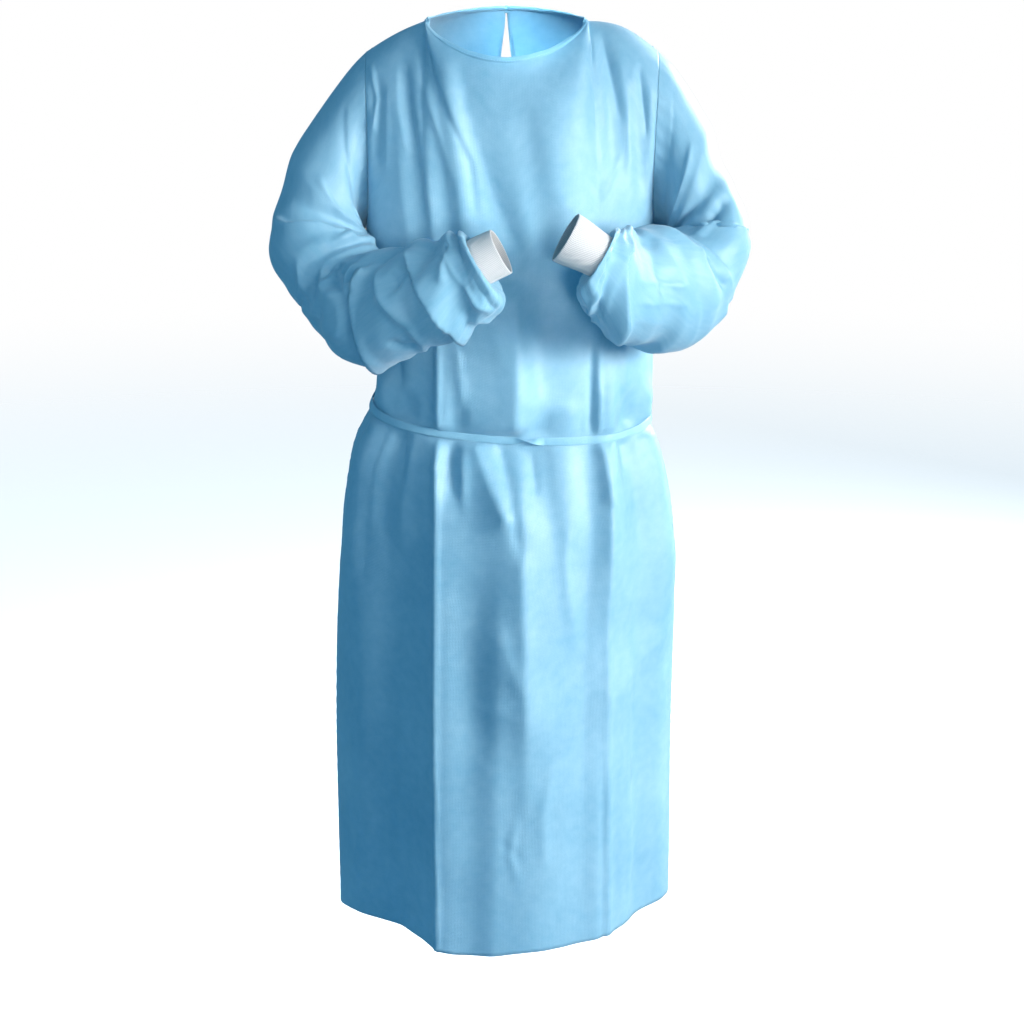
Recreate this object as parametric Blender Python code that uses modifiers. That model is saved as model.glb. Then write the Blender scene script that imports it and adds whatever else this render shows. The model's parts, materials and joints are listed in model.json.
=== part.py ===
"""Disposable surgical gown in its worn form, hollow, with both arms bent in front of the body.

Metres, +Z up. The gown faces -Y and its origin is the middle of the shoulder line at the neck. Left and
right are the wearer's, so left is at +X. Each piece of cloth is an open lofted surface with a Solidify
wall on its inner side.
"""

from collections import namedtuple

import bpy
import numpy as np

# Cloth and seams
WALL = 0.0012
SIDE_SEAM = 0.0005  # measured on the outer face: the walls draw together inwards
SHOULDER_SEAM = 0.0009
ARMHOLE_SEAM = 0.0008
BINDING_SEAM = 0.0007

# Main sizes of the worn form
HEM_HEIGHT = -1.143
HEM_TILT = 0.030  # the hem rises towards +X by this share
RUNS_OFF = -1.450  # lower end of a crease that runs off the hem
BELT_HEIGHT = -0.4750
BELT_DROP_LEFT = 0.0080
BELT_DROP_FRONT = 0.0170
BELT_REACH = 0.15  # how far up and down the cloth follows the belt's slope
UNDERARM_HEIGHT = -0.250
SHOULDER_TIP = {-1: (-0.170, 0.005, -0.037), 1: (0.184, 0.005, -0.036)}
NECK_HALF_WIDTH = 0.098
NECK_FRONT = 0.082
NECK_FRONT_DROP = 0.043
NECK_BACK = 0.062
NECK_BACK_RISE = 0.011
SHOULDER_CROWN = {-1: 0.003, 1: 0.011}  # rise of the shoulder line over a straight one
SHOULDER_SHARE = 0.625  # share of each half panel's width that ends on the shoulder seam
HALF_PANEL_WIDTH = 0.27

# How the cloth sets off from the underarm and arrives at the shoulder and neck: its pull outwards from
# the middle (x), out of the front or back (y) and up (z)
PULL_AT_ARMHOLE = (-0.035, 0.19, 0.15)
PULL_AT_CHEST = (0.0, 0.03, 0.25)
PULL_OVER_SHOULDER = (0.0, -0.24, 0.03)
PULL_TO_NECK_FRONT = (0.0, -0.05, 0.19)
PULL_TO_NECK_BACK = (0.0, -0.13, 0.15)
PULL_BLEND = 0.45  # share of a half panel over which the pull changes from armhole to chest

BINDING_WIDTH = 0.006
BINDING_THICK = 0.0022
BELT_WIDTH = 0.010
BELT_THICK = 0.0016
OVERLAP_LIFT = 0.0030
OVERLAP_FADE = 0.08
OVERLAP_TOP = (-0.25, -0.15)  # the lift of one back over the other dies away between these heights
EDGE_SEARCH = (0.85, 1.12, 28)  # column places between which a back panel's free edge lies, and samples
SEAM_FADE = 0.14  # share of a half panel from its seam over which folds reach their depth
TOP_FOLD_SHARE = 0.4  # share of a fold's depth that is left on the shoulder and neck edge

# Grid fineness
HALF_COLUMNS = 16
BELT_ROWS = (BELT_HEIGHT - 0.008, BELT_HEIGHT + 0.008)  # the cloth lies flat between these
HEIGHTS_BELOW = (
    (HEM_HEIGHT, -1.080, -1.000, -0.920, -0.840, -0.765, -0.695, -0.635, -0.582, -0.540, -0.508)
    + BELT_ROWS
    + (-0.445, -0.412, -0.372, -0.330, -0.290, UNDERARM_HEIGHT)
)
RISES = (0.0, 0.10, 0.20, 0.31, 0.42, 0.53, 0.64, 0.75, 0.86, 0.95, 1.0)

# Sections of the body; "squareness" is the exponent of the superellipse of the front half
Section = namedtuple("Section", "height centre half_width front back squareness")
BODY = (
    Section(-1.180, -0.003, 0.2190, 0.182, 0.166, 1.75),
    Section(-1.020, -0.004, 0.2195, 0.174, 0.164, 1.80),
    Section(-0.870, -0.004, 0.2190, 0.165, 0.160, 1.90),
    Section(-0.740, -0.001, 0.2170, 0.157, 0.155, 2.00),
    Section(-0.650, 0.002, 0.2130, 0.150, 0.150, 2.10),
    Section(-0.570, 0.002, 0.2040, 0.140, 0.141, 2.15),
    Section(-0.520, 0.002, 0.1925, 0.130, 0.131, 2.20),
    Section(BELT_ROWS[0], 0.005, 0.1765, 0.119, 0.121, 2.25),
    Section(BELT_ROWS[1], 0.007, 0.1730, 0.117, 0.119, 2.25),
    Section(-0.440, 0.010, 0.1725, 0.120, 0.121, 2.25),
    Section(-0.400, 0.011, 0.1725, 0.115, 0.118, 2.25),
    Section(-0.330, 0.007, 0.1700, 0.102, 0.113, 2.22),
    Section(-0.290, 0.005, 0.1745, 0.099, 0.111, 2.20),
    Section(-0.250, 0.005, 0.1780, 0.103, 0.110, 2.25),
    Section(-0.180, 0.006, 0.1780, 0.100, 0.108, 2.25),
)
BACK_SQUARENESS = 2.20
HEM_LIFT_STARTS = -0.6  # height below which the hem's own slope begins to show

# Places where the hem is drawn up: degrees round the body from the centre front, towards +X
HemLift = namedtuple("HemLift", "angle half_angle rise")
HEM_LIFTS = (HemLift(-56, 40, 0.015), HemLift(66, 36, 0.009), HemLift(-12, 24, -0.004))

# How far each back panel runs past the centre back (negative: short of it)
BackEdge = namedtuple("BackEdge", "height past_centre")
BACK_EDGE = (
    BackEdge(-1.180, 0.052),
    BackEdge(-0.700, 0.034),
    BackEdge(-0.480, 0.020),
    BackEdge(-0.330, 0.004),
    BackEdge(-0.200, -0.010),
    BackEdge(-0.100, -0.012),
    BackEdge(-0.045, -0.0075),
    BackEdge(0.000, -0.0014),
    BackEdge(0.020, -0.0010),
)

# Folds that run from the belt: degrees round the body from the centre front, towards +X
Gather = namedtuple("Gather", "angle half_angle above below depth lean")
GATHER_HOLD = (0.004, 0.030)  # the folds start and are whole at these distances from the belt
GATHERS = (
    Gather(-29, 8, 0.090, 0.300, 0.0050, 8),
    Gather(-16, 7, 0.050, 0.130, -0.0060, 3),
    Gather(-8, 7, 0.030, 0.200, 0.0055, 12),
    Gather(6, 9, 0.050, 0.120, -0.0045, 4),
    Gather(19, 8, 0.060, 0.160, 0.0040, 2),
    Gather(38, 8, 0.090, 0.260, 0.0060, -5),
    Gather(51, 9, 0.060, 0.200, -0.0060, 0),
    Gather(70, 12, 0.070, 0.300, 0.0080, 2),
    Gather(104, 11, 0.060, 0.260, -0.0080, 2),
    Gather(122, 11, 0.080, 0.400, 0.0100, -2),
    Gather(141, 10, 0.060, 0.260, -0.0080, 0),
    Gather(155, 8, 0.050, 0.220, 0.0050, 2),
    Gather(-46, 9, 0.050, 0.180, -0.0055, 0),
    Gather(-66, 12, 0.070, 0.280, 0.0080, -2),
    Gather(-104, 11, 0.060, 0.240, -0.0080, 0),
    Gather(-123, 11, 0.080, 0.380, 0.0100, 2),
    Gather(-142, 10, 0.060, 0.260, -0.0080, 0),
    Gather(-156, 8, 0.050, 0.200, 0.0050, -2),
)

# Long soft folds and pressed creases, as lines seen from the front or the back
Crease = namedtuple("Crease", "x_top z_top x_bottom z_bottom half_width depth")
FRONT_CREASES = (
    Crease(-0.086, -0.300, -0.089, RUNS_OFF, 0.026, 0.0085),
    Crease(0.124, -0.300, 0.118, RUNS_OFF, 0.026, 0.0080),
    Crease(-0.132, -0.560, -0.140, RUNS_OFF, 0.040, -0.0160),
    Crease(0.168, -0.560, 0.180, RUNS_OFF, 0.030, -0.0090),
    Crease(-0.095, -0.010, -0.062, -0.300, 0.022, -0.0080),
    Crease(-0.125, -0.030, -0.098, -0.290, 0.018, -0.0065),
    Crease(-0.074, -0.020, -0.040, -0.300, 0.020, 0.0040),
    Crease(-0.155, -0.060, -0.158, -0.180, 0.016, -0.0050),
    Crease(-0.040, -0.060, 0.035, -0.440, 0.034, -0.0090),
    Crease(0.060, -0.060, 0.085, -0.400, 0.040, 0.0060),
    Crease(0.115, -0.020, 0.135, -0.190, 0.020, -0.0060),
    Crease(0.158, -0.060, 0.165, -0.210, 0.016, -0.0050),
    Crease(0.030, -0.500, -0.020, -0.900, 0.045, -0.0060),
    Crease(0.060, -0.540, 0.030, RUNS_OFF, 0.050, 0.0050),
    Crease(-0.040, -0.620, -0.050, RUNS_OFF, 0.034, -0.0050),
)
BACK_CREASES = (
    Crease(-0.060, -0.020, -0.085, -0.400, 0.024, -0.0070),
    Crease(0.075, -0.020, 0.095, -0.380, 0.026, -0.0070),
    Crease(-0.115, -0.040, -0.130, -0.380, 0.024, 0.0055),
    Crease(0.130, -0.040, 0.140, -0.300, 0.022, 0.0050),
    Crease(-0.105, -0.540, -0.120, RUNS_OFF, 0.036, 0.0080),
    Crease(0.100, -0.540, 0.125, RUNS_OFF, 0.036, 0.0080),
    Crease(-0.076, -0.580, -0.082, RUNS_OFF, 0.026, -0.0065),
    Crease(0.074, -0.560, 0.084, RUNS_OFF, 0.026, -0.0070),
    Crease(-0.160, -0.560, -0.172, RUNS_OFF, 0.030, -0.0070),
    Crease(0.158, -0.560, 0.170, RUNS_OFF, 0.030, -0.0070),
)

# Sleeve sections. "inner" runs from the underarm over the crook of the elbow to the top of the wrist,
# "outer" from the shoulder tip round the elbow to the underside of the wrist.
Ring = namedtuple("Ring", "inner outer away near")
SLEEVE = {
    -1: (
        Ring((-0.178, -0.004, -0.2520), (-0.196, 0.008, -0.064), 0.064, 0.064),
        Ring((-0.180, -0.012, -0.2545), (-0.226, 0.008, -0.104), 0.069, 0.068),
        Ring((-0.181, -0.022, -0.2570), (-0.254, 0.006, -0.147), 0.073, 0.070),
        Ring((-0.177, -0.034, -0.2570), (-0.275, 0.002, -0.195), 0.076, 0.070),
        Ring((-0.177, -0.048, -0.2560), (-0.278, -0.006, -0.243), 0.078, 0.060),
        Ring((-0.174, -0.062, -0.2550), (-0.270, -0.018, -0.288), 0.079, 0.050),
        Ring((-0.170, -0.076, -0.2540), (-0.247, -0.036, -0.330), 0.078, 0.043),
        Ring((-0.164, -0.090, -0.2550), (-0.215, -0.060, -0.366), 0.076, 0.038),
        Ring((-0.159, -0.106, -0.2570), (-0.181, -0.090, -0.392), 0.073, 0.036),
        Ring((-0.151, -0.126, -0.2620), (-0.150, -0.120, -0.404), 0.070, 0.040),
        Ring((-0.131, -0.148, -0.2530), (-0.122, -0.146, -0.388), 0.066, 0.042),
        Ring((-0.108, -0.172, -0.2440), (-0.090, -0.172, -0.370), 0.062, 0.048),
        Ring((-0.084, -0.196, -0.2350), (-0.062, -0.198, -0.353), 0.058, 0.049),
        Ring((-0.064, -0.218, -0.2270), (-0.034, -0.222, -0.334), 0.053, 0.047),
        Ring((-0.054, -0.235, -0.2215), (-0.006, -0.244, -0.312), 0.047, 0.043),
        Ring((-0.047, -0.246, -0.2240), (-0.003, -0.252, -0.292), 0.038, 0.035),
        Ring((-0.0441, -0.2500, -0.2292), (-0.0179, -0.2500, -0.2798), 0.0285, 0.0285),
    ),
    1: (
        Ring((0.191, -0.004, -0.2520), (0.209, 0.008, -0.064), 0.064, 0.064),
        Ring((0.195, -0.012, -0.2530), (0.237, 0.008, -0.104), 0.069, 0.068),
        Ring((0.198, -0.022, -0.2530), (0.260, 0.006, -0.147), 0.073, 0.070),
        Ring((0.199, -0.034, -0.2520), (0.271, 0.002, -0.195), 0.076, 0.070),
        Ring((0.197, -0.048, -0.2500), (0.272, -0.006, -0.240), 0.078, 0.060),
        Ring((0.194, -0.062, -0.2480), (0.266, -0.018, -0.284), 0.079, 0.051),
        Ring((0.190, -0.076, -0.2455), (0.262, -0.036, -0.322), 0.078, 0.046),
        Ring((0.182, -0.090, -0.2420), (0.238, -0.060, -0.356), 0.076, 0.048),
        Ring((0.176, -0.106, -0.2370), (0.208, -0.090, -0.378), 0.073, 0.046),
        Ring((0.168, -0.126, -0.2330), (0.180, -0.120, -0.387), 0.070, 0.047),
        Ring((0.158, -0.150, -0.2300), (0.152, -0.150, -0.374), 0.067, 0.050),
        Ring((0.148, -0.176, -0.2270), (0.126, -0.182, -0.356), 0.063, 0.053),
        Ring((0.138, -0.202, -0.2230), (0.104, -0.210, -0.334), 0.057, 0.050),
        Ring((0.130, -0.224, -0.2190), (0.087, -0.232, -0.310), 0.050, 0.045),
        Ring((0.1235, -0.2400, -0.2190), (0.081, -0.244, -0.288), 0.039, 0.036),
        Ring((0.1196, -0.2500, -0.2255), (0.0934, -0.2500, -0.2705), 0.0260, 0.0260),
    ),
}
RINGS_BETWEEN = 2  # loft rings in each step of the table
CUFF_TURN = (12, 6)  # rings from the cuff between which the sleeve turns into the cuff's direction

# Bunches of the sleeve cloth: share of the way down the sleeve, ring angle of its crest, size
Bunch = namedtuple("Bunch", "share half_share slant depth")
BUNCHES = {
    -1: (
        Bunch(0.24, 0.050, 0.03, -0.0060),
        Bunch(0.36, 0.050, 0.04, 0.0050),
        Bunch(0.47, 0.040, 0.05, -0.0070),
        Bunch(0.575, 0.040, 0.05, 0.0080),
        Bunch(0.645, 0.034, 0.05, -0.0110),
        Bunch(0.715, 0.040, 0.05, 0.0080),
        Bunch(0.785, 0.034, 0.04, -0.0110),
        Bunch(0.850, 0.036, 0.04, 0.0070),
        Bunch(0.910, 0.030, 0.02, -0.0060),
    ),
    1: (
        Bunch(0.22, 0.050, 0.03, -0.0060),
        Bunch(0.33, 0.050, 0.03, 0.0050),
        Bunch(0.44, 0.045, 0.04, -0.0080),
        Bunch(0.58, 0.060, 0.03, 0.0060),
        Bunch(0.72, 0.045, 0.03, -0.0080),
        Bunch(0.82, 0.045, 0.02, 0.0060),
        Bunch(0.90, 0.030, 0.02, -0.0050),
    ),
}

# Cuffs: centre of the opening, the direction it faces, its upper side
CUFF_MOUTH = {-1: (-0.0050, -0.2525, -0.2410), 1: (0.0670, -0.2520, -0.2250)}
CUFF_MOUTH_RADIUS = {-1: 0.0270, 1: 0.0300}
CUFF_WALL = 0.0016
CUFF_RINGS = 6
CUFF_TUCK = 0.004  # how far a cuff reaches back into its sleeve's end
CUFF_CLEARANCE = 0.0007

ARMHOLE_BREADTH = (0.056, 0.058)
ARMHOLE_BLEND = 5  # rings over which the armhole's shape turns into the sleeve's
BELT_CLEARANCE = 0.0006

# Knots behind the neck and the waist, and the tape ends that hang from them
TAPE_STEPS = 9
TAPE_THICK = 0.0012
KNOT_GAP = 0.0005
NECK_KNOT_INSET = 0.0016  # the binding leans in over the neck, so its knot sits this far forward
KNOT_SIZE = {"neck": (0.013, 0.008, 0.010), "belt": (0.022, 0.012, 0.015)}
TapeEnd = namedtuple("TapeEnd", "name knot side drift length width stand_off")
TAPE_ENDS = (
    TapeEnd("neck_tie_left", "neck", 1, 0.010, 0.095, 0.0050, 0.0032),
    TapeEnd("neck_tie_right", "neck", -1, 0.016, 0.080, 0.0050, 0.0032),
    TapeEnd("belt_end_left", "belt", 1, 0.022, 0.250, 0.0090, 0.0080),
    TapeEnd("belt_end_right", "belt", -1, 0.014, 0.220, 0.0090, 0.0080),
)

CLOTH_BLUE = (0.243, 0.552, 0.799, 1.0)
TRIM_BLUE = (0.376, 0.674, 0.868, 1.0)
KNIT_WHITE = (0.847, 0.847, 0.880, 1.0)


def curve_through(keys, values, at):
    """Smooth curve through rows of values at rising keys, read at the given places."""
    keys, values = np.asarray(keys, float), np.asarray(values, float)
    at = np.clip(np.asarray(at, float), keys[0], keys[-1])
    slopes = np.gradient(values, keys, axis=0)
    step = np.clip(np.searchsorted(keys, at, side="right") - 1, 0, len(keys) - 2)
    span = keys[step + 1] - keys[step]
    t = (at - keys[step]) / span
    if values.ndim > 1:
        extra = (None,) * (values.ndim - 1)
        t, span = t[(...,) + extra], span[(...,) + extra]
    return hermite(values[step], values[step + 1], slopes[step] * span, slopes[step + 1] * span, t)


def hermite(start, end, start_pull, end_pull, t):
    """Point at t of the cubic between two ends with the given pulls."""
    return (
        (2 * t**3 - 3 * t**2 + 1) * start
        + (t**3 - 2 * t**2 + t) * start_pull
        + (3 * t**2 - 2 * t**3) * end
        + (t**3 - t**2) * end_pull
    )


def smooth_step(value, low, high):
    """0 below low, 1 above high, and smooth between."""
    t = np.clip((np.asarray(value, float) - low) / (high - low), 0.0, 1.0)
    return t * t * (3 - 2 * t)


def swell(distance, half_width):
    """A soft bump: 1 in the middle and 0 from half_width on."""
    t = np.clip(np.abs(distance) / half_width, 0.0, 1.0)
    return (1 - t * t) ** 2


def signed_power(value, power):
    return np.sign(value) * np.abs(value) ** power


def belt_height(angle):
    """Height of the middle of the belt, round the body."""
    return BELT_HEIGHT - BELT_DROP_LEFT * np.sin(angle) - BELT_DROP_FRONT * np.cos(angle)


def section_point(angle, height):
    """Point of the smooth body below the underarm; the angle runs from the centre front towards +X."""
    angle, height = np.broadcast_arrays(np.asarray(angle, float), np.asarray(height, float))
    table = np.array(BODY)
    shape = curve_through(table[:, 0], table[:, 1:], height)
    centre, half_width, front, back, squareness = np.moveaxis(shape, -1, 0)
    depth = np.where(np.cos(angle) > 0, front, back)
    power = 2 / np.where(np.cos(angle) > 0, squareness, BACK_SQUARENESS)
    x = centre + half_width * signed_power(np.sin(angle), power)
    y = -depth * signed_power(np.cos(angle), power)
    near_belt = np.exp(-(((height - BELT_HEIGHT) / BELT_REACH) ** 2))
    near_hem = smooth_step(height, HEM_LIFT_STARTS, HEM_HEIGHT)
    degrees = np.degrees(angle)
    rise = HEM_TILT * x + sum(lift.rise * swell(degrees - lift.angle, lift.half_angle) for lift in HEM_LIFTS)
    z = height + near_belt * (belt_height(angle) - BELT_HEIGHT) + near_hem * rise
    return np.stack([x, y, z], -1)


def neck_point(turn, facing):
    """Point of the neck edge; turn runs from -90 to 90 degrees from -X to +X, facing -1 is the front."""
    depth, rise = (NECK_FRONT, -NECK_FRONT_DROP) if facing < 0 else (NECK_BACK, NECK_BACK_RISE)
    level = np.cos(turn)
    return np.stack([NECK_HALF_WIDTH * np.sin(turn), facing * depth * level, rise * level**1.6], -1)


def pull(strength, side, facing):
    """A pull from the tables above, turned to its side and facing."""
    return np.array(strength) * (side, facing, 1)


def top_edge(inwards, side, facing):
    """End of each column on the shoulder seam and neck, and its pull there."""
    inwards = np.asarray(inwards, float)
    tip = np.array(SHOULDER_TIP[side]) + (0, facing * SHOULDER_SEAM / 2, 0)
    neck = np.array([side * NECK_HALF_WIDTH, facing * SHOULDER_SEAM / 2, 0.0])
    along = np.clip(inwards / SHOULDER_SHARE, 0, 1)[..., None]
    shoulder = tip + (neck - tip) * along + np.array([0, 0, SHOULDER_CROWN[side]]) * np.sin(np.pi * along)
    turn = side * (np.pi / 2) * (1 - np.clip((inwards - SHOULDER_SHARE) / (1 - SHOULDER_SHARE), 0, 1))
    on_neck = neck_point(turn, facing)
    on_neck[..., 1] += facing * SHOULDER_SEAM / 2 * np.abs(np.sin(turn))
    point = np.where((inwards <= SHOULDER_SHARE)[..., None], shoulder, on_neck)
    over_shoulder = pull(PULL_OVER_SHOULDER, side, facing)
    up_to_neck = pull(PULL_TO_NECK_FRONT if facing < 0 else PULL_TO_NECK_BACK, side, facing)
    share = smooth_step(inwards, SHOULDER_SHARE, 1.0)[..., None]
    return point, over_shoulder + (up_to_neck - over_shoulder) * share


def yoke_point(inwards, rise, side, facing):
    """Point above the underarm; inwards runs from the armhole (0) to the centre (1), rise from 0 to 1."""
    inwards, rise = np.broadcast_arrays(np.asarray(inwards, float), np.asarray(rise, float))
    turn = np.pi / 2 * (1 - inwards)
    angle = side * (turn if facing < 0 else np.pi - turn)
    start = section_point(angle, UNDERARM_HEIGHT)
    end, end_pull = top_edge(inwards, side, facing)
    at_edge, inside = pull(PULL_AT_ARMHOLE, side, facing), pull(PULL_AT_CHEST, side, facing)
    start_pull = at_edge + (inside - at_edge) * smooth_step(inwards, 0.0, PULL_BLEND)[..., None]
    return hermite(start, end, start_pull, end_pull, rise[..., None])


def creases_at(points, creases):
    """Depth of all the creases, as seen from the front or back."""
    depth = np.zeros(points.shape[:-1])
    for crease in creases:
        top, bottom = np.array([crease.x_top, crease.z_top]), np.array([crease.x_bottom, crease.z_bottom])
        line = bottom - top
        offset = points[..., (0, 2)] - top
        along = offset @ line / (line @ line)
        across = (offset[..., 0] * line[1] - offset[..., 1] * line[0]) / np.linalg.norm(line)
        ends = smooth_step(along, -0.02, 0.2) * smooth_step(-along, -1.02, -0.8)
        depth += crease.depth * swell(across, crease.half_width) * ends
    return depth


def gathers_at(angle, points):
    """Depth of the folds that the belt draws together."""
    degrees = np.degrees(angle)
    above_belt = points[..., 2] - belt_height(angle)
    depth = np.zeros(points.shape[:-1])
    for gather in GATHERS:
        reach = np.where(above_belt > 0, gather.above, gather.below)
        share = np.abs(above_belt) / reach
        middle = gather.angle + gather.lean * np.clip(-above_belt / gather.below, 0, 1)
        ends = smooth_step(np.abs(above_belt), *GATHER_HOLD) * (1 - smooth_step(share, 0.5, 1.0))
        depth += gather.depth * swell(degrees - middle, gather.half_angle) * ends
    return depth


def grid_normals(grid, round_closed=False):
    """Unit normals of a grid of rows that rise and columns that run anticlockwise seen from outside."""
    up = np.gradient(grid, axis=0)
    if round_closed:
        across = (np.roll(grid, -1, axis=1) - np.roll(grid, 1, axis=1)) / 2
    else:
        across = np.gradient(grid, axis=1)
    normal = np.cross(across, up)
    return normal / np.linalg.norm(normal, axis=-1, keepdims=True)


def half_panel(columns, side, facing):
    """Smooth grid of a half panel; columns run from the side seam (0) to the centre (1), or past it."""
    heights = np.array(HEIGHTS_BELOW)[:, None]
    inwards = columns[None, :]
    turn = np.pi / 2 * (1 - inwards)
    angle = side * (turn if facing < 0 else np.pi - turn)
    below = section_point(angle, heights)
    above = yoke_point(inwards, np.array(RISES)[1:, None], side, facing)
    angles = np.broadcast_to(angle, (len(HEIGHTS_BELOW) + len(RISES) - 1, len(columns)))
    return np.concatenate([below, above]), angles


def seam_fade(columns):
    """0 on the side seam and armhole, 1 a little way in, so that neighbours keep one line there."""
    return smooth_step(columns, 0.0, SEAM_FADE)


def front_grid():
    """Grid of the front panel, columns from its -X side to its +X side."""
    columns = np.linspace(0, 1, HALF_COLUMNS + 1)
    left, left_angles = half_panel(columns, -1, -1)
    right, right_angles = half_panel(columns, 1, -1)
    grid = np.concatenate([left, right[:, -2::-1]], axis=1)
    angles = np.concatenate([left_angles, right_angles[:, -2::-1]], axis=1)
    grid[:, 0, 1] -= SIDE_SEAM / 2
    grid[:, -1, 1] -= SIDE_SEAM / 2
    fade = np.concatenate([seam_fade(columns), seam_fade(columns)[-2::-1]])
    depth = (creases_at(grid, FRONT_CREASES) + gathers_at(angles, grid)) * fade
    depth[-1] *= TOP_FOLD_SHARE
    return grid + grid_normals(grid) * depth[..., None]


def back_edge_columns(side):
    """Column places of a back panel in each row, so that its free edge follows its table."""
    table = np.array(BACK_EDGE)
    samples = np.linspace(*EDGE_SEARCH)
    near_centre, _ = half_panel(samples, side, 1)
    centre_line, _ = half_panel(np.array([1.0]), side, 1)
    past = curve_through(table[:, 0], table[:, 1], centre_line[:, 0, 2])
    steps = np.linspace(0, 1, HALF_COLUMNS + 1)
    rows = []
    for points, centre, reach in zip(near_centre, centre_line, past):
        beyond = -side * (points[:, 0] - centre[0, 0])
        rows.append(steps * np.interp(reach, beyond, samples))
    return np.array(rows)


def back_grid(side):
    """Grid of one back panel, columns anticlockwise seen from outside."""
    columns = back_edge_columns(side)
    grid = np.empty(columns.shape + (3,))
    angles = np.empty(columns.shape)
    for row, places in enumerate(columns):
        whole, turned = half_panel(places, side, 1)
        grid[row], angles[row] = whole[row], turned[row]
    grid[:, 0, 1] += SIDE_SEAM / 2
    from_edge = np.abs(columns - 1.0) * HALF_PANEL_WIDTH
    lift = -side * OVERLAP_LIFT * (1 - smooth_step(from_edge, 0.0, OVERLAP_FADE))
    lift = lift * (1 - smooth_step(grid[..., 2], *OVERLAP_TOP))
    depth = (creases_at(grid, BACK_CREASES) + gathers_at(angles, grid)) * seam_fade(columns)
    if side < 0:
        grid, depth, lift = grid[:, ::-1], depth[:, ::-1], lift[:, ::-1]
    return grid + grid_normals(grid) * (depth + lift)[..., None]


def armhole_loop(side):
    """Armhole edge of the body: from the underarm up its front to the shoulder tip and down its back."""
    first = len(HEIGHTS_BELOW) - 1
    front_edge = front_grid()[first:, 0 if side < 0 else -1]
    back_edge = back_grid(side)[first:, -1 if side < 0 else 0]
    loop = np.concatenate([front_edge, back_edge[-2:0:-1]])
    loop[0] = (front_edge[0] + back_edge[0]) / 2
    loop[len(RISES) - 1] = (front_edge[-1] + back_edge[-1]) / 2
    return loop


def ring_points(centre, outwards, away, breadth_away, breadth_near, turns):
    """Points of one sleeve section; turn 0 is its outer end and a rising turn goes over its front."""
    breadth = np.where(np.sin(turns) > 0, breadth_away, breadth_near)
    return centre + outwards * np.cos(turns)[:, None] + away * (breadth * np.sin(turns))[:, None]


def loop_turns(loop):
    """Turn of each loop point: half a turn at the underarm, 0 at the shoulder tip, minus down the back."""
    closed = np.concatenate([loop, loop[:1]])
    length = np.concatenate([[0], np.cumsum(np.linalg.norm(np.diff(closed, axis=0), axis=1))])
    tip = len(RISES) - 1
    up_front = length[: tip + 1] / length[tip]
    down_back = 1 + (length[tip + 1 : -1] - length[tip]) / (length[-1] - length[tip])
    return np.pi * (1 - np.concatenate([up_front, down_back]))


def sleeve_sections(side):
    """Inner ends, outer ends and breadths of all the loft rings, from the armhole to the cuff."""
    table = SLEEVE[side]
    loop = armhole_loop(side)
    inner = np.array([loop[0]] + [ring.inner for ring in table])
    outer = np.array([loop[len(RISES) - 1]] + [ring.outer for ring in table])
    breadths = np.array([ARMHOLE_BREADTH] + [(ring.away, ring.near) for ring in table])
    keys = np.arange(len(inner))
    at = np.linspace(0, keys[-1], keys[-1] * RINGS_BETWEEN + 1)
    return tuple(curve_through(keys, values, at) for values in (inner, outer, breadths))


def bunches_at(side, shares, turns):
    """Depth of the bunches, which lean over the front of the sleeve and fade towards the body."""
    shares, turns = shares[:, None], turns[None, :]
    depth = np.zeros(np.broadcast(shares, turns).shape)
    for bunch in BUNCHES[side]:
        middle = bunch.share - bunch.slant * np.cos(turns)
        depth = depth + bunch.depth * swell(shares - middle, bunch.half_share)
    on_show = 0.35 + 0.65 * smooth_step(np.sin(turns), -0.6, 0.4)
    ends = smooth_step(shares, 0.05, 0.15) * (1 - smooth_step(shares, 0.93, 0.97))
    return depth * on_show * ends


def sleeve_grid(side):
    """Grid of a sleeve: rows from the armhole to the cuff, columns round it."""
    inner, outer, breadths = sleeve_sections(side)
    loop = armhole_loop(side)
    turns = loop_turns(loop)
    centres = (inner + outer) / 2
    travel = np.gradient(centres, axis=0)
    travel /= np.linalg.norm(travel, axis=-1, keepdims=True)
    to_mouth = np.array(CUFF_MOUTH[side]) - centres[-1]
    to_mouth /= np.linalg.norm(to_mouth)
    begins, done = (len(centres) - rings for rings in CUFF_TURN)
    near_cuff = smooth_step(np.arange(len(centres)), begins, done)[:, None]
    travel = travel * (1 - near_cuff) + to_mouth * near_cuff
    rows = []
    for index, centre in enumerate(centres):
        outwards = (outer[index] - inner[index]) / 2
        away = side * np.cross(travel[index], outwards)
        away /= np.linalg.norm(away)
        ring = ring_points(centre, outwards, away, *breadths[index], turns)
        hold = 1 - smooth_step(index / ARMHOLE_BLEND, 0, 1)
        moved = loop - (inner[0] + outer[0]) / 2 + centre
        rows.append(ring * (1 - hold) + moved * hold)
    grid = np.array(rows)
    length = np.concatenate([[0], np.cumsum(np.linalg.norm(np.diff(centres, axis=0), axis=1))])
    depth = bunches_at(side, length / length[-1], turns)
    step = grid[1] - loop
    grid[0] = loop + step / np.linalg.norm(step, axis=-1, keepdims=True) * ARMHOLE_SEAM
    if side > 0:
        grid, depth = grid[:, ::-1], depth[:, ::-1]
    return grid + grid_normals(grid, round_closed=True) * depth[..., None]


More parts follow.
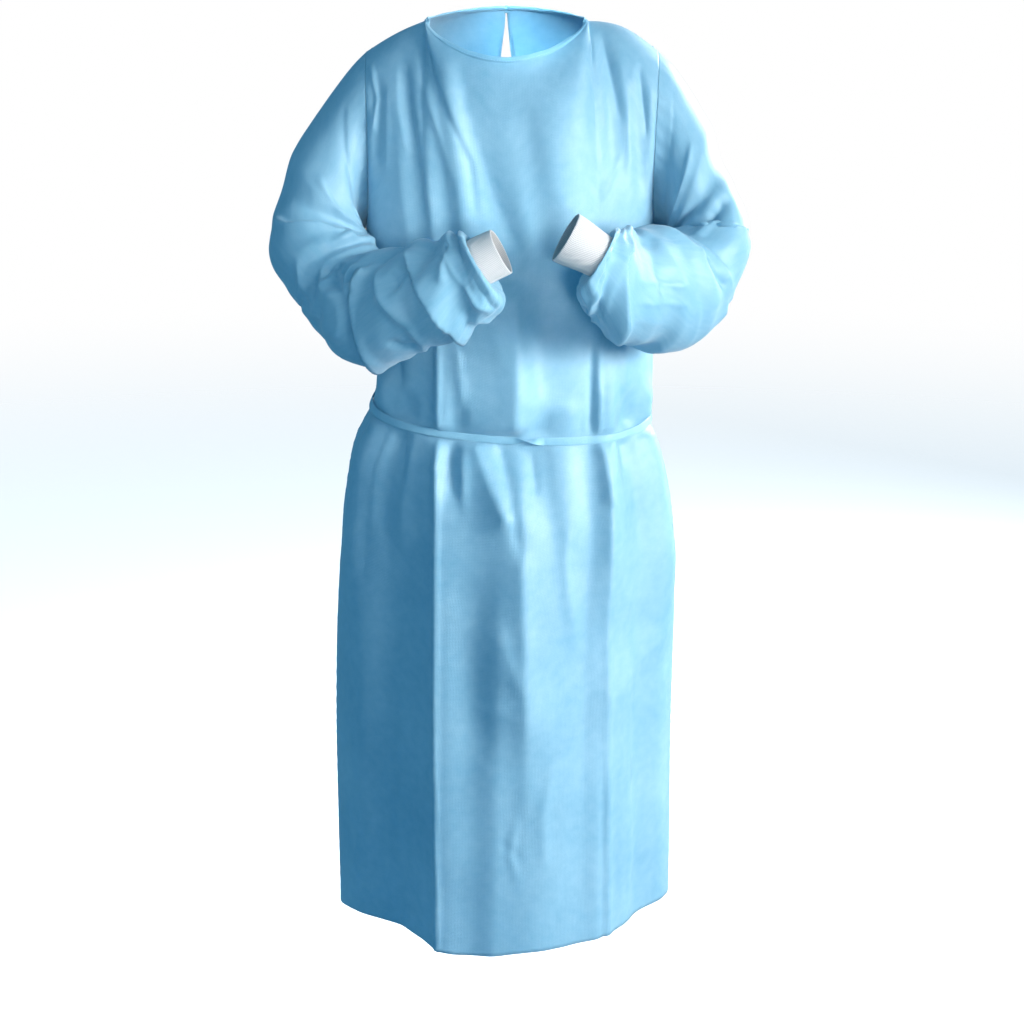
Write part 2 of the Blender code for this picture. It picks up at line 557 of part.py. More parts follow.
def cuff_grid(side):
    """Grid of a cuff: a short tube that starts just inside the sleeve's end."""
    inner, outer, _ = sleeve_sections(side)
    mouth = np.array(CUFF_MOUTH[side])
    joint = (inner[-1] + outer[-1]) / 2
    axis = mouth - joint
    length = np.linalg.norm(axis)
    axis /= length
    outwards = outer[-1] - inner[-1]
    radius = np.linalg.norm(outwards) / 2 - CUFF_CLEARANCE
    outwards -= axis * (outwards @ axis)
    outwards /= np.linalg.norm(outwards)
    away = side * np.cross(axis, outwards)
    turns = loop_turns(armhole_loop(side))
    rows = []
    for along in np.linspace(-CUFF_TUCK, length, CUFF_RINGS):
        wide = radius + (CUFF_MOUTH_RADIUS[side] - radius) * smooth_step(along, 0.0, length)
        rows.append(ring_points(joint + axis * along, outwards * wide, away, wide, wide, turns))
    grid = np.array(rows)
    return grid[:, ::-1] if side > 0 else grid


def belt_rows():
    """Two rows of points on the body, half a belt width below and above the belt's middle."""
    low = HEIGHTS_BELOW.index(BELT_ROWS[0])
    front, left, right = front_grid(), back_grid(1), back_grid(-1)
    edge = right[low, 0, 0]
    on_left = [index for index in range(1, HALF_COLUMNS + 1) if left[low, index, 0] > edge + 0.012]
    pair = slice(low, low + 2)
    lower, upper = np.concatenate([front[pair], left[pair, on_left], right[pair, :-1]], axis=1)
    rise = (upper[:, 2] - lower[:, 2])[:, None]
    middle = (lower + upper) / 2
    along = (upper - lower) / rise
    return np.array([middle - along * BELT_WIDTH / 2, middle + along * BELT_WIDTH / 2])


def belt_grid():
    """Belt: a band just off the body, columns anticlockwise seen from above."""
    rows = belt_rows()
    return rows + grid_normals(rows, round_closed=True) * BELT_CLEARANCE


def neck_loop():
    """Points of the bare neck edge with their normals, from the right back edge round the front."""
    first = round(HALF_COLUMNS * SHOULDER_SHARE)
    front, left, right = front_grid(), back_grid(1), back_grid(-1)
    on_front = slice(first, 2 * HALF_COLUMNS + 1 - first)
    stretches = ((right, slice(0, HALF_COLUMNS + 1 - first)), (front, on_front), (left, slice(first, None)))
    points = [grid[-1, span] for grid, span in stretches]
    normals = [grid_normals(grid)[-1, span] for grid, span in stretches]
    for values in (points, normals):  # one corner where two panels meet on the shoulder
        values[0][-1] = (values[0][-1] + values[1][0]) / 2
        values[2][0] = (values[1][-1] + values[2][0]) / 2
        values[1] = values[1][1:-1]
    return np.concatenate(points), np.concatenate(normals)


def binding_grid():
    """Neck binding: a strip that stands on the neck edge, its middle in line with the cloth's."""
    points, normals = neck_loop()
    tangent = np.gradient(points, axis=0)
    inwards = np.cross(normals, tangent)
    inwards /= np.linalg.norm(inwards, axis=-1, keepdims=True)
    base = points - normals * WALL / 2
    return np.array([base + inwards * BINDING_SEAM, base + inwards * (BINDING_SEAM + BINDING_WIDTH)])


def material(name, colour, roughness):
    """A plain Principled material."""
    made = bpy.data.materials.new(name)
    made.use_nodes = True
    shader = made.node_tree.nodes["Principled BSDF"]
    shader.inputs["Base Color"].default_value = colour
    shader.inputs["Roughness"].default_value = roughness
    shader.inputs["Metallic"].default_value = 0.0
    made.diffuse_color = colour
    return made


def sheet(collection, name, grid, finish, round_closed=False, wall=WALL, offset=-1.0):
    """One piece of cloth: a grid of points made into a surface with a Solidify wall."""
    rows, columns = grid.shape[:2]
    last = columns if round_closed else columns - 1
    faces = [
        (
            row * columns + column,
            row * columns + (column + 1) % columns,
            (row + 1) * columns + (column + 1) % columns,
            (row + 1) * columns + column,
        )
        for row in range(rows - 1)
        for column in range(last)
    ]
    mesh = bpy.data.meshes.new(name)
    mesh.from_pydata([tuple(map(float, point)) for point in grid.reshape(-1, 3)], [], faces)
    mesh.shade_smooth()
    mesh.materials.append(finish)
    piece = bpy.data.objects.new(name, mesh)
    collection.objects.link(piece)
    solid = piece.modifiers.new("Wall", "SOLIDIFY")
    solid.thickness = wall
    solid.offset = offset
    solid.use_quality_normals = True
    return piece


def knot(collection, name, centre, size, finish):
    """A small tight knot, a rounded lump."""
    bpy.ops.mesh.primitive_uv_sphere_add(segments=14, ring_count=9, radius=0.5, location=centre)
    piece = bpy.context.object
    piece.name = piece.data.name = name
    piece.scale = size
    bpy.ops.object.transform_apply(location=False, rotation=False, scale=True)
    piece.data.shade_smooth()
    piece.data.materials.append(finish)
    for home in list(piece.users_collection):
        home.objects.unlink(piece)
    collection.objects.link(piece)
    return piece


def centre_back_depth(heights):
    """How far back the smooth body reaches at the centre back."""
    line, _ = half_panel(np.array([1.0]), 1, 1)
    return np.interp(heights, line[:, 0, 2], line[:, 0, 1])


def knot_centre(place):
    """Middle of a knot, which sits just behind the binding or the belt."""
    _, deep, _ = KNOT_SIZE[place]
    if place == "neck":
        height = NECK_BACK_RISE + BINDING_WIDTH / 2
        behind = NECK_BACK + BINDING_THICK / 2 - NECK_KNOT_INSET
    else:
        height = float(belt_height(np.pi))
        behind = float(centre_back_depth(height)) + OVERLAP_LIFT + BELT_CLEARANCE + BELT_THICK
    return np.array([0.0, behind + KNOT_GAP + deep / 2, height])


def tape_end_grid(end):
    """A free end of tape that hangs from its knot and comes to lie close to the back."""
    centre = knot_centre(end.knot)
    steps = np.linspace(0, 1, TAPE_STEPS)
    middle = end.side * (end.width * 0.65 + end.drift * steps**1.3)
    heights = centre[2] - KNOT_SIZE[end.knot][2] / 2 - KNOT_GAP - end.length * steps
    lying = centre_back_depth(heights) + end.stand_off
    depths = centre[1] + (lying - centre[1]) * smooth_step(steps, 0.0, 0.35)
    depths = np.maximum(depths, lying)
    edges = [np.stack([middle + edge * end.width / 2, depths, heights], -1) for edge in (-1, 1)]
    return np.stack(edges, axis=1)


def main():
    """Build the gown, one object for each piece."""
    for old in list(bpy.data.objects):
        bpy.data.objects.remove(old, do_unlink=True)
    gown = bpy.data.collections.new("surgical_gown")
    bpy.context.scene.collection.children.link(gown)
    cloth = material("nonwoven_blue", CLOTH_BLUE, 0.85)
    trim = material("nonwoven_trim", TRIM_BLUE, 0.85)
    knit = material("knit_white", KNIT_WHITE, 0.95)

    sheet(gown, "front_panel", front_grid(), cloth)
    for side, hand in ((1, "left"), (-1, "right")):
        sheet(gown, f"back_panel_{hand}", back_grid(side), cloth)
        sheet(gown, f"sleeve_{hand}", sleeve_grid(side), cloth, round_closed=True)
        sheet(gown, f"cuff_{hand}", cuff_grid(side), knit, round_closed=True, wall=CUFF_WALL)
    sheet(gown, "neck_binding", binding_grid(), trim, wall=BINDING_THICK, offset=0.0)
    sheet(gown, "belt", belt_grid(), trim, round_closed=True, wall=BELT_THICK, offset=1.0)
    for place, size in KNOT_SIZE.items():
        knot(gown, f"{place}_knot", knot_centre(place), size, trim)
    for end in TAPE_ENDS:
        sheet(gown, end.name, tape_end_grid(end), trim, wall=TAPE_THICK, offset=0.0)


if __name__ == "__main__":
    main()
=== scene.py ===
"""The look of a disposable surgical gown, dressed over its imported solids.

Metres, +Z up. The gown faces -Y, and left is the wearer's left, at +X. Each sheet of cloth is a fine grid on
the form of its solid, with its own folds, turned-in seam edges and a thin wall.
"""

from __future__ import annotations

import json
import logging
import math
from dataclasses import dataclass, field
from enum import Enum
from typing import NamedTuple, Sequence

import bpy
import numpy as np
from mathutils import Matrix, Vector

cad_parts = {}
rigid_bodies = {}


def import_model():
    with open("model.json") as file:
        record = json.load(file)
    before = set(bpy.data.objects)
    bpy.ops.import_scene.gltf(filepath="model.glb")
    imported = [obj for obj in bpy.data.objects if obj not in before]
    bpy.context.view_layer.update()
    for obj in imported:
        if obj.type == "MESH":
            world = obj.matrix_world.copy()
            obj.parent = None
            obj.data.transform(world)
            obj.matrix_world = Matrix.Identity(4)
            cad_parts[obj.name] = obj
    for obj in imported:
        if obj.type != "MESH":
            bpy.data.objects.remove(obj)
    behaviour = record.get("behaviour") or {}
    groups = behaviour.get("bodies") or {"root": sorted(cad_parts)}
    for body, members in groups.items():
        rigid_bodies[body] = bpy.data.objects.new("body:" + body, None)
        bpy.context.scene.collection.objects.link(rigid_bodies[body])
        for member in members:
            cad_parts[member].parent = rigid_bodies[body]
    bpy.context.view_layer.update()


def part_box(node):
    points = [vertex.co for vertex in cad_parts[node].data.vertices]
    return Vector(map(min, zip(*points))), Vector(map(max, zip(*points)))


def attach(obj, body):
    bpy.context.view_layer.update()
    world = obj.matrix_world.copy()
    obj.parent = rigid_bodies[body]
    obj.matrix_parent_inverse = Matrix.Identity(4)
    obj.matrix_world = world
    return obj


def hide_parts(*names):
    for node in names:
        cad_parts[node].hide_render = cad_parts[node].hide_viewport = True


LOG = logging.getLogger("gown")
BODY = "root"
Array = np.ndarray
Point = tuple[float, float, float]


class Side(Enum):
    """The wearer's left or right, with the sign of its X."""

    LEFT = 1
    RIGHT = -1

    @property
    def hand(self) -> str:
        """The side's name in a piece's name."""
        return self.name.lower()


class Slot(Enum):
    """The record's material slots."""

    CLOTH = "nonwoven_blue"
    TRIM = "nonwoven_trim"
    KNIT = "knit_white"


# --- Curves, bumps and charts ---------------------------------------------------------------------------


def smooth_step(value: Array | float, low: float, high: float) -> Array:
    """Ease from 0 to 1 between two values.

    Args:
        value: Where to read it.
        low: Where it leaves 0.
        high: Where it reaches 1.

    Returns:
        The eased share.
    """
    t = np.clip((np.asarray(value, float) - low) / (high - low), 0.0, 1.0)
    return t * t * (3 - 2 * t)


def swell(distance: Array, half_width: float) -> Array:
    """A soft bump.

    Args:
        distance: Distance from its middle.
        half_width: Where it has died away.

    Returns:
        1 in the middle and 0 from half_width on.
    """
    t = np.clip(np.abs(distance) / half_width, 0.0, 1.0)
    return (1 - t * t) ** 2


def signed_power(value: Array, power: Array | float) -> Array:
    """A power that keeps the sign."""
    return np.sign(value) * np.abs(value) ** power


def unit(vectors: Array) -> Array:
    """Vectors made one long."""
    return vectors / np.maximum(np.linalg.norm(vectors, axis=-1, keepdims=True), 1e-12)


def hermite(start: Array, end: Array, start_pull: Array, end_pull: Array, t: Array) -> Array:
    """Points of a cubic.

    Args:
        start: Its first end.
        end: Its last end.
        start_pull: Its pull at the first end.
        end_pull: Its pull at the last end.
        t: Shares of the way, with a last axis of 1.

    Returns:
        The points at t.
    """
    return (
        (2 * t**3 - 3 * t**2 + 1) * start
        + (t**3 - 2 * t**2 + t) * start_pull
        + (3 * t**2 - 2 * t**3) * end
        + (t**3 - t**2) * end_pull
    )


def curve_through(keys: Sequence[float], values: Sequence, at: Array) -> Array:
    """Smooth curve through rows of values.

    Args:
        keys: Rising keys of the rows.
        values: One value or row of values for each key.
        at: Keys to read it at.

    Returns:
        The values at those keys.
    """
    keys, values = np.asarray(keys, float), np.asarray(values, float)
    at = np.clip(np.asarray(at, float), keys[0], keys[-1])
    slopes = np.gradient(values, keys, axis=0)
    step = np.clip(np.searchsorted(keys, at, side="right") - 1, 0, len(keys) - 2)
    span = keys[step + 1] - keys[step]
    t = (at - keys[step]) / span
    if values.ndim > 1:
        t, span = t[..., None], span[..., None]
    return hermite(values[step], values[step + 1], slopes[step] * span, slopes[step + 1] * span, t)


def grid_normals(grid: Array, round_closed: bool = False) -> Array:
    """Outward normals of a grid.

    Args:
        grid: Rows that rise, of points that run anticlockwise seen from above.
        round_closed: True if each row closes on itself.

    Returns:
        Unit normals, one for each point.
    """
    if round_closed:
        across = (np.roll(grid, -1, axis=1) - np.roll(grid, 1, axis=1)) / 2
    else:
        across = np.gradient(grid, axis=1)
    return unit(np.cross(across, np.gradient(grid, axis=0)))


def running_length(points: Array, axis: int) -> Array:
    """Length along a grid's rows or columns.

    Args:
        points: The grid.
        axis: 0 for up its columns and 1 for along its rows.

    Returns:
        The length so far at each point, from 0.
    """
    steps = np.linalg.norm(np.diff(points, axis=axis), axis=-1)
    start = np.zeros_like(np.take(steps, [0], axis=axis))
    return np.cumsum(np.concatenate([start, steps], axis=axis), axis=axis)


def read_along(at: Array | float, length: Array, values: Array) -> Array:
    """Read a line of points or directions at given lengths."""
    return np.stack([np.interp(at, length, values[:, axis]) for axis in range(3)], -1)


def evened(line: Array, span: int) -> Array:
    """A line of points or directions, averaged over an odd number of them."""
    padded = np.pad(line, ((span // 2, span // 2), (0, 0)), "edge")
    return np.stack([np.convolve(padded[:, axis], np.ones(span) / span, "valid") for axis in range(3)], -1)


@dataclass(frozen=True)
class Fold:
    """A crease along a path on a flat chart. Its crest may fall away unlike on its two sides."""

    path: tuple[tuple[float, float], ...]
    rise: float
    left: float
    right: float
    ends: float = 0.18
    crest: float = 0.0012

    @classmethod
    def rows(cls, units: tuple[int, int], *rows: tuple) -> tuple["Fold", ...]:
        """Folds from a table.

        Args:
            units: What the path's numbers are divided by.
            rows: A fold's path, its rise in tenths of a millimetre, its widths in millimetres, and its ends and
                crest where they are unusual.

        Returns:
            The folds.
        """
        return tuple(
            cls(tuple((x / units[0], y / units[1]) for x, y in zip(path[::2], path[1::2])),
                rise / 10000, left / 1000, right / 1000, *more)
            for path, rise, left, right, *more in rows
        )

    def height(self, chart: Array, scale: tuple[float, float] = (1.0, 1.0)) -> Array:
        """How far the fold lifts the cloth.

        Args:
            chart: Places on the chart, in metres.
            scale: Metres for one unit of the path along each axis.

        Returns:
            The lift at each place.
        """
        path = np.array(self.path) * scale
        lengths = np.linalg.norm(np.diff(path, axis=0), axis=1)
        before = np.concatenate([[0.0], np.cumsum(lengths)])
        nearest = np.full(chart.shape[:-1], np.inf)
        width, along = np.ones_like(nearest), np.zeros_like(nearest)
        for index, length in enumerate(lengths):
            direction = (path[index + 1] - path[index]) / length
            offset = chart - path[index]
            t = np.clip(offset @ direction, 0.0, length)
            distance = np.linalg.norm(offset - t[..., None] * direction, axis=-1)
            turn = direction[0] * offset[..., 1] - direction[1] * offset[..., 0]
            closer = distance < nearest
            nearest = np.where(closer, distance, nearest)
            width = np.where(closer, np.where(turn > 0, self.left, self.right), width)
            along = np.where(closer, (before[index] + t) / before[-1], along)
        rounded = np.sqrt(nearest**2 + self.crest**2) - self.crest
        profile = (1 - np.clip(rounded / width, 0.0, 1.0)) ** 2
        return self.rise * profile * smooth_step(along, 0.0, self.ends) * smooth_step(1 - along, 0.0, self.ends)


@dataclass(frozen=True)
class Crumple:
    """Small flat facets with crisp edges, like a sheet that was crushed and smoothed again."""

    size: float
    rise: float
    seed: int
    stretch: float = 1.0
    turn: float = 0.5

    TABLE = 61

    def height(self, chart: Array) -> Array:
        """Height of the facets.

        Args:
            chart: Places on the cloth, in metres.

        Returns:
            The height at each place.
        """
        heights = np.random.default_rng(self.seed).uniform(-1.0, 1.0, (self.TABLE, self.TABLE))
        cos, sin = math.cos(self.turn), math.sin(self.turn)
        x = (chart[..., 0] * cos - chart[..., 1] * sin) / self.size
        y = (chart[..., 0] * sin + chart[..., 1] * cos) / (self.size * self.stretch)
        x, y = x + 0.33 * np.sin(1.7 * y + self.seed), y + 0.33 * np.sin(1.3 * x + 2.0 * self.seed)
        column, row = np.floor(x).astype(int), np.floor(y).astype(int)
        fx, fy = x - column, y - row
        flip = (column * 7 + row * 3) % 2 == 0
        fx = np.where(flip, 1 - fx, fx)

        def corner(right: int, up: int) -> Array:
            """Height of one corner of each cell."""
            over = np.where(flip, 1 - right, right)
            return heights[(column + over) % self.TABLE, (row + up) % self.TABLE]

        low = corner(0, 0) + fx * (corner(1, 0) - corner(0, 0)) + fy * (corner(0, 1) - corner(0, 0))
        high = corner(1, 1) + (1 - fx) * (corner(0, 1) - corner(1, 1)) + (1 - fy) * (corner(1, 0) - corner(1, 1))
        return self.rise * np.where(fx + fy < 1, low, high)


def drift(chart: Array, size: float, seed: int) -> Array:
    """Slow change over the cloth, from 0 to 1, that varies how strong a small effect is.

    Args:
        chart: Places on the cloth, in metres.
        size: Rough size of its patches.
        seed: Which of many such patterns.

    Returns:
        The value at each place.
    """
    x, y = chart[..., 0] / size, chart[..., 1] / size
    waves = np.sin(1.9 * x + 0.8 * y + seed) + np.sin(2.3 * y - 1.1 * x + 2.1 * seed) + np.sin(1.3 * (x + y) - seed)
    return 0.5 + waves / 6


def seam_pucker(along: Array, from_seam: Array, seed: int, rise: float = 0.0007) -> Array:
    """The small ripples that a seam draws into the cloth.

    Args:
        along: Length along the seam.
        from_seam: Distance from it.
        seed: Which of many such patterns.
        rise: Height of the ripples.

    Returns:
        Their height at each place.
    """
    ripple = np.sin(along * 2 * math.pi / 0.0165 + 1.5 * np.sin(along / 0.021 + seed))
    swing = 0.6 + 0.4 * np.sin(along / 0.047 + 2 * seed)
    return rise * ripple * swing * np.exp(-from_seam / 0.011)


# --- Shader maths and finishes --------------------------------------------------------------------------


class Value:
    """A number socket in a material, with Python's arithmetic."""

    def __init__(self, shading: "Shading", socket: bpy.types.NodeSocket) -> None:
        """Wrap a socket."""
        self.shading = shading
        self.socket = socket

    def __add__(self, other: "Value | float") -> "Value":
        """Sum."""
        return self.shading.maths("ADD", self, other)

    def __sub__(self, other: "Value | float") -> "Value":
        """Difference."""
        return self.shading.maths("SUBTRACT", self, other)

    def __rsub__(self, other: float) -> "Value":
        """Difference from a number."""
        return self.shading.maths("SUBTRACT", other, self)

    def __mul__(self, other: "Value | float") -> "Value":
        """Product."""
        return self.shading.maths("MULTIPLY", self, other)

    __radd__ = __add__
    __rmul__ = __mul__


class Shading:
    """The nodes of a new material or world."""

    def __init__(self, owner: bpy.types.Material | bpy.types.World, output: str = "OutputMaterial") -> None:
        """Clear its nodes, all but an output.

        Args:
            owner: The material or world.
            output: The output's type, without ShaderNode.
        """
        self.owner = owner
        owner.use_nodes = True
        self.nodes, self.links = owner.node_tree.nodes, owner.node_tree.links
        self.nodes.clear()
        self.output = self.node(output)

    def node(self, kind: str, settings: dict | None = None, sockets: dict | None = None) -> bpy.types.Node:
        """Add a node.

        Args:
            kind: Its type, without ShaderNode.
            settings: Its settings, set first.
            sockets: Value or link for each input, by name or place.

        Returns:
            The node.
        """
        made = self.nodes.new("ShaderNode" + kind)
        for key, setting in (settings or {}).items():
            setattr(made, key, setting)
        for key, value in (sockets or {}).items():
            socket = made.inputs[key]
            if isinstance(value, Value):
                value = value.socket
            if isinstance(value, bpy.types.NodeSocket):
                self.links.new(value, socket)
            else:
                socket.default_value = value
        return made

    def maths(self, operation: str, *inputs: Value | float) -> Value:
        """A Math node of the given operation."""
        made = self.node("Math", {"operation": operation}, dict(enumerate(inputs)))
        return Value(self, made.outputs[0])

    def sine(self, value: Value) -> Value:
        """The sine of a value."""
        return self.maths("SINE", value)

    def eased(self, value: Value, low: float, high: float) -> Value:
        """A value eased from 0 at low to 1 at high.

        Args:
            value: The value.
            low: Where it leaves 0.
            high: Where it reaches 1.

        Returns:
            The eased value.
        """
        made = self.node(
            "MapRange",
            {"interpolation_type": "SMOOTHSTEP"},
            {"Value": value, "From Min": low, "From Max": high},
        )
        return Value(self, made.outputs[0])

    def noise(self, place: bpy.types.NodeSocket, scale: float, detail: float = 2.0) -> Value:
        """Soft noise of the given scale over a place."""
        made = self.node("TexNoise", None, {"Vector": place, "Scale": scale, "Detail": detail})
        return Value(self, made.outputs[0])

    def blend(self, share: Value, first: Point, second: Point) -> bpy.types.NodeSocket:
        """A colour between two.

        Args:
            share: 0 for the first and 1 for the second.
            first: Linear red, green and blue.
            second: Linear red, green and blue.

        Returns:
            The colour's socket.
        """
        made = self.node("Mix", {"data_type": "RGBA"}, {0: share, 6: (*first, 1.0), 7: (*second, 1.0)})
        return made.outputs[2]

    def scaled(self, place: bpy.types.NodeSocket, across: float, along: float) -> bpy.types.NodeSocket:
        """A place stretched along its two axes."""
        made = self.node("VectorMath", {"operation": "MULTIPLY"}, {0: place, 1: (across, along, 1.0)})
        return made.outputs[0]

    def split(self, place: bpy.types.NodeSocket) -> tuple[Value, Value]:
        """The two numbers of a place on the cloth."""
        made = self.node("SeparateXYZ", None, {0: place})
        return Value(self, made.outputs[0]), Value(self, made.outputs[1])

    def surface(
        self, colour: bpy.types.NodeSocket, roughness: Value, relief: Value, bump: Sequence[float], constants: dict
    ) -> bpy.types.Node:
        """A surface with a relief.

        Args:
            colour: Its colour.
            roughness: Its roughness.
            relief: Height of its relief.
            bump: The relief's strength and distance.
            constants: The sockets that are the same all over.

        Returns:
            The shader.
        """
        lit = self.node("Bump", None, {"Strength": bump[0], "Distance": bump[1], "Height": relief})
        sockets = {"Base Color": colour, "Roughness": roughness, "Normal": lit.outputs[0]}
        return self.node("BsdfPrincipled", None, sockets | constants)

    def mixed(
        self, share: Value | bpy.types.NodeSocket | float, first: bpy.types.Node, second: bpy.types.Node
    ) -> bpy.types.Node:
        """A mix of two shaders."""
        return self.node("MixShader", None, {0: share, 1: first.outputs[0], 2: second.outputs[0]})

    def finish(self, shader: bpy.types.Node) -> bpy.types.Material | bpy.types.World:
        """Link the last shader and give what it is for."""
        self.links.new(shader.outputs[0], self.output.inputs["Surface"])
        return self.owner


@dataclass(frozen=True)
class NonwovenFinish:
    """Spunbond cloth: pressed fibres, a grid of small bond points, and light that comes through."""

    name: str = "nonwoven_cloth"
    slot: Slot = Slot.CLOTH
    deep: Point = (0.205, 0.470, 0.650)
    pale: Point = (0.365, 0.625, 0.785)
    through: Point = (0.10, 0.46, 0.78)
    light_through: float = 0.16
    bond_pitch: float = 0.0026
    roughness: float = 0.53
    fibre_scale: float = 1500.0
    cloud_scale: float = 75.0
    broad_scale: float = 9.0
    ridge_scale: float = 34.0
    bump: tuple[float, float] = (0.7, 0.0008)

    def make(self) -> bpy.types.Material:
        """Build the material.

        Returns:
            The material.
        """
        shading = Shading(bpy.data.materials.new(self.name))
        place = shading.node("UVMap", {"uv_map": "cloth"}).outputs[0]
        across, along = shading.split(place)
        wave = 2 * math.pi / self.bond_pitch
        bond = shading.eased(
            shading.sine((across + along) * wave * 0.7) * shading.sine((across - along) * wave * 0.7), 0.35, 0.8
        )
        fibre = shading.noise(shading.scaled(place, 1.0, 0.45), self.fibre_scale, 3.0)
        cloud = shading.noise(place, self.cloud_scale, 4.0)
        broad = shading.noise(place, self.broad_scale, 2.0)
        share = (cloud - 0.5) * 0.9 + (fibre - 0.5) * 0.8 + (broad - 0.5) * 1.3 - bond * 0.16 + 0.5
        relief = fibre * 0.22 + cloud * 0.30 - bond * 0.24
        ridges = shading.noise(shading.scaled(place, 1.0, 0.6), self.ridge_scale, 4.0)
        shader = shading.surface(
            shading.blend(share, self.deep, self.pale),
            self.roughness + (fibre - 0.5) * 0.25 - bond * 0.14,
            relief + ridges * 1.1,
            self.bump,
            {"Specular IOR Level": 0.75, "Sheen Weight": 0.28, "Sheen Roughness": 0.45},
        )
        glow = shading.node("BsdfTranslucent", None, {"Color": (*self.through, 1.0)})
        return shading.finish(shading.mixed(self.light_through, shader, glow))


@dataclass(frozen=True)
class KnitFinish:
    """Fine white rib knit, with painted shade: greys instead of white, darker in the grooves between its ribs."""

    name: str = "rib_knit"
    slot: Slot = Slot.KNIT
    # Painted shade: the white knit is given greys, with a faint warm tint that offsets the room's blue light.
    deep: Point = (0.46, 0.44, 0.45)
    pale: Point = (0.69, 0.66, 0.67)
    wale: float = 0.0021
    course: float = 0.0012
    fuzz_scale: float = 2200.0
    roughness: float = 0.86
    bump: tuple[float, float] = (0.8, 0.0006)

    def make(self) -> bpy.types.Material:
        """Build the material.

        Returns:
            The material.
        """
        shading = Shading(bpy.data.materials.new(self.name))
        place = shading.node("UVMap", {"uv_map": "cloth"}).outputs[0]
        around, along = shading.split(place)
        turns = around * (2 * math.pi / self.wale)
        rib = shading.sine(turns) * 0.5 + 0.5
        slant = shading.sine(along * (2 * math.pi / self.course) + shading.sine(turns) * 1.3) * 0.5 + 0.5
        fuzz = shading.noise(place, self.fuzz_scale, 2.0)
        # Painted shade: paler on the rib crests and stitch rows, darker in the grooves between them.
        share = rib * 0.55 + slant * 0.25 + (fuzz - 0.5) * 0.35 + 0.12
        shader = shading.surface(
            shading.blend(share, self.deep, self.pale),
            self.roughness + (fuzz - 0.5) * 0.2,
            rib * 0.7 + slant * 0.3 + fuzz * 0.25,
            self.bump,
            {"Specular IOR Level": 0.25, "Sheen Weight": 0.35, "Sheen Roughness": 0.5},
        )
        return shading.finish(shader)


@dataclass(frozen=True)
class ThreadFinish:
    """Polyester sewing thread, with the twist of its plies."""

    name: str = "sewing_thread"
    slot: Slot = Slot.TRIM
    deep: Point = (0.24, 0.52, 0.76)
    pale: Point = (0.42, 0.70, 0.88)
    ply_scale: float = 2600.0
    roughness: float = 0.42
    bump: tuple[float, float] = (0.6, 0.0002)

    def make(self) -> bpy.types.Material:
        """Build the material.

        Returns:
            The material.
        """
        shading = Shading(bpy.data.materials.new(self.name))
        place = shading.node("TexCoord").outputs["Object"]
        ply = shading.noise(place, self.ply_scale, 1.0)
        colour = shading.blend(ply, self.deep, self.pale)
        return shading.finish(shading.surface(colour, self.roughness + ply * 0.2, ply, self.bump, {}))


Finish = NonwovenFinish | KnitFinish | ThreadFinish


class Wardrobe:
    """The finishes, each made once."""

    def __init__(self) -> None:
        """Start with none."""
        self.made: dict[str, bpy.types.Material] = {}

    def material(self, finish: Finish) -> bpy.types.Material:
        """The material of a finish.

        Args:
            finish: The finish.

        Returns:
            Its material, made when it is first asked for.
        """
        if finish.name not in self.made:
            self.made[finish.name] = finish.make()
        return self.made[finish.name]

    def hang(self, cloth: Cloth, name: str, finish: Finish, node: str, wall: float = 0.0) -> bpy.types.Object:
        """Make a piece that rides on the gown in place of a solid.

        Args:
            cloth: Its grid.
            name: Its name.
            finish: Its finish.
            node: The solid that it replaces.
            wall: Thickness of the cloth, or 0 for a closed form.

        Returns:
            The piece.
        """
        piece = cloth.object(name, self.material(finish), wall)
        dress(piece, finish.slot, node)
        return piece


# --- Meshes ---------------------------------------------------------------------------------------------


def smooth_piece(name: str, points: Array, faces: list, material: bpy.types.Material) -> bpy.types.Object:
    """Make a smooth mesh.

    Args:
        name: Its name.
        points: Its points.
        faces: Its faces, as places in the points.
        material: Its finish.

    Returns:
        The object, in the scene.
    """
    mesh = bpy.data.meshes.new(name)
    mesh.from_pydata(points.tolist(), [], faces)
    mesh.shade_smooth()
    mesh.materials.append(material)
    piece = bpy.data.objects.new(name, mesh)
    bpy.context.scene.collection.objects.link(piece)
    return piece


@dataclass
class Cloth:
    """A grid of points with its flat chart, ready to become a mesh."""

    grid: Array
    chart: Array
    round_closed: bool = False

    @classmethod
    def tube(cls, grid: Array) -> "Cloth":
        """Cloth whose rows close on themselves."""
        return cls(grid, flat_chart(grid, round_closed=True), round_closed=True)

    def object(self, name: str, material: bpy.types.Material, wall: float = 0.0) -> bpy.types.Object:
        """Make the piece.

        Args:
            name: Its name.
            material: Its finish.
            wall: Thickness of the cloth, inside the grid, or 0 for a closed form.

        Returns:
            The object, in the scene.
        """
        rows, columns = self.grid.shape[:2]
        last = columns if self.round_closed else columns - 1
        row, column = np.meshgrid(np.arange(rows - 1), np.arange(last), indexing="ij")
        over = (column + 1) % columns
        faces = np.stack([row * columns + column, row * columns + over], -1)
        faces = np.concatenate([faces, (faces + columns)[..., ::-1]], -1).reshape(-1, 4)
        piece = smooth_piece(name, self.grid.reshape(-1, 3), faces.tolist(), material)
        low, high = self.chart[row, column], self.chart[row, column + 1]
        top, top_over = self.chart[row + 1, column], self.chart[row + 1, column + 1]
        corners = np.stack([low, high, top_over, top], axis=2).reshape(-1, 2)
        piece.data.uv_layers.new(name="cloth").data.foreach_set("uv", corners.astype(np.float32).ravel())
        if wall > 0:
            solid = piece.modifiers.new("Wall", "SOLIDIFY")
            solid.thickness = wall
        return piece


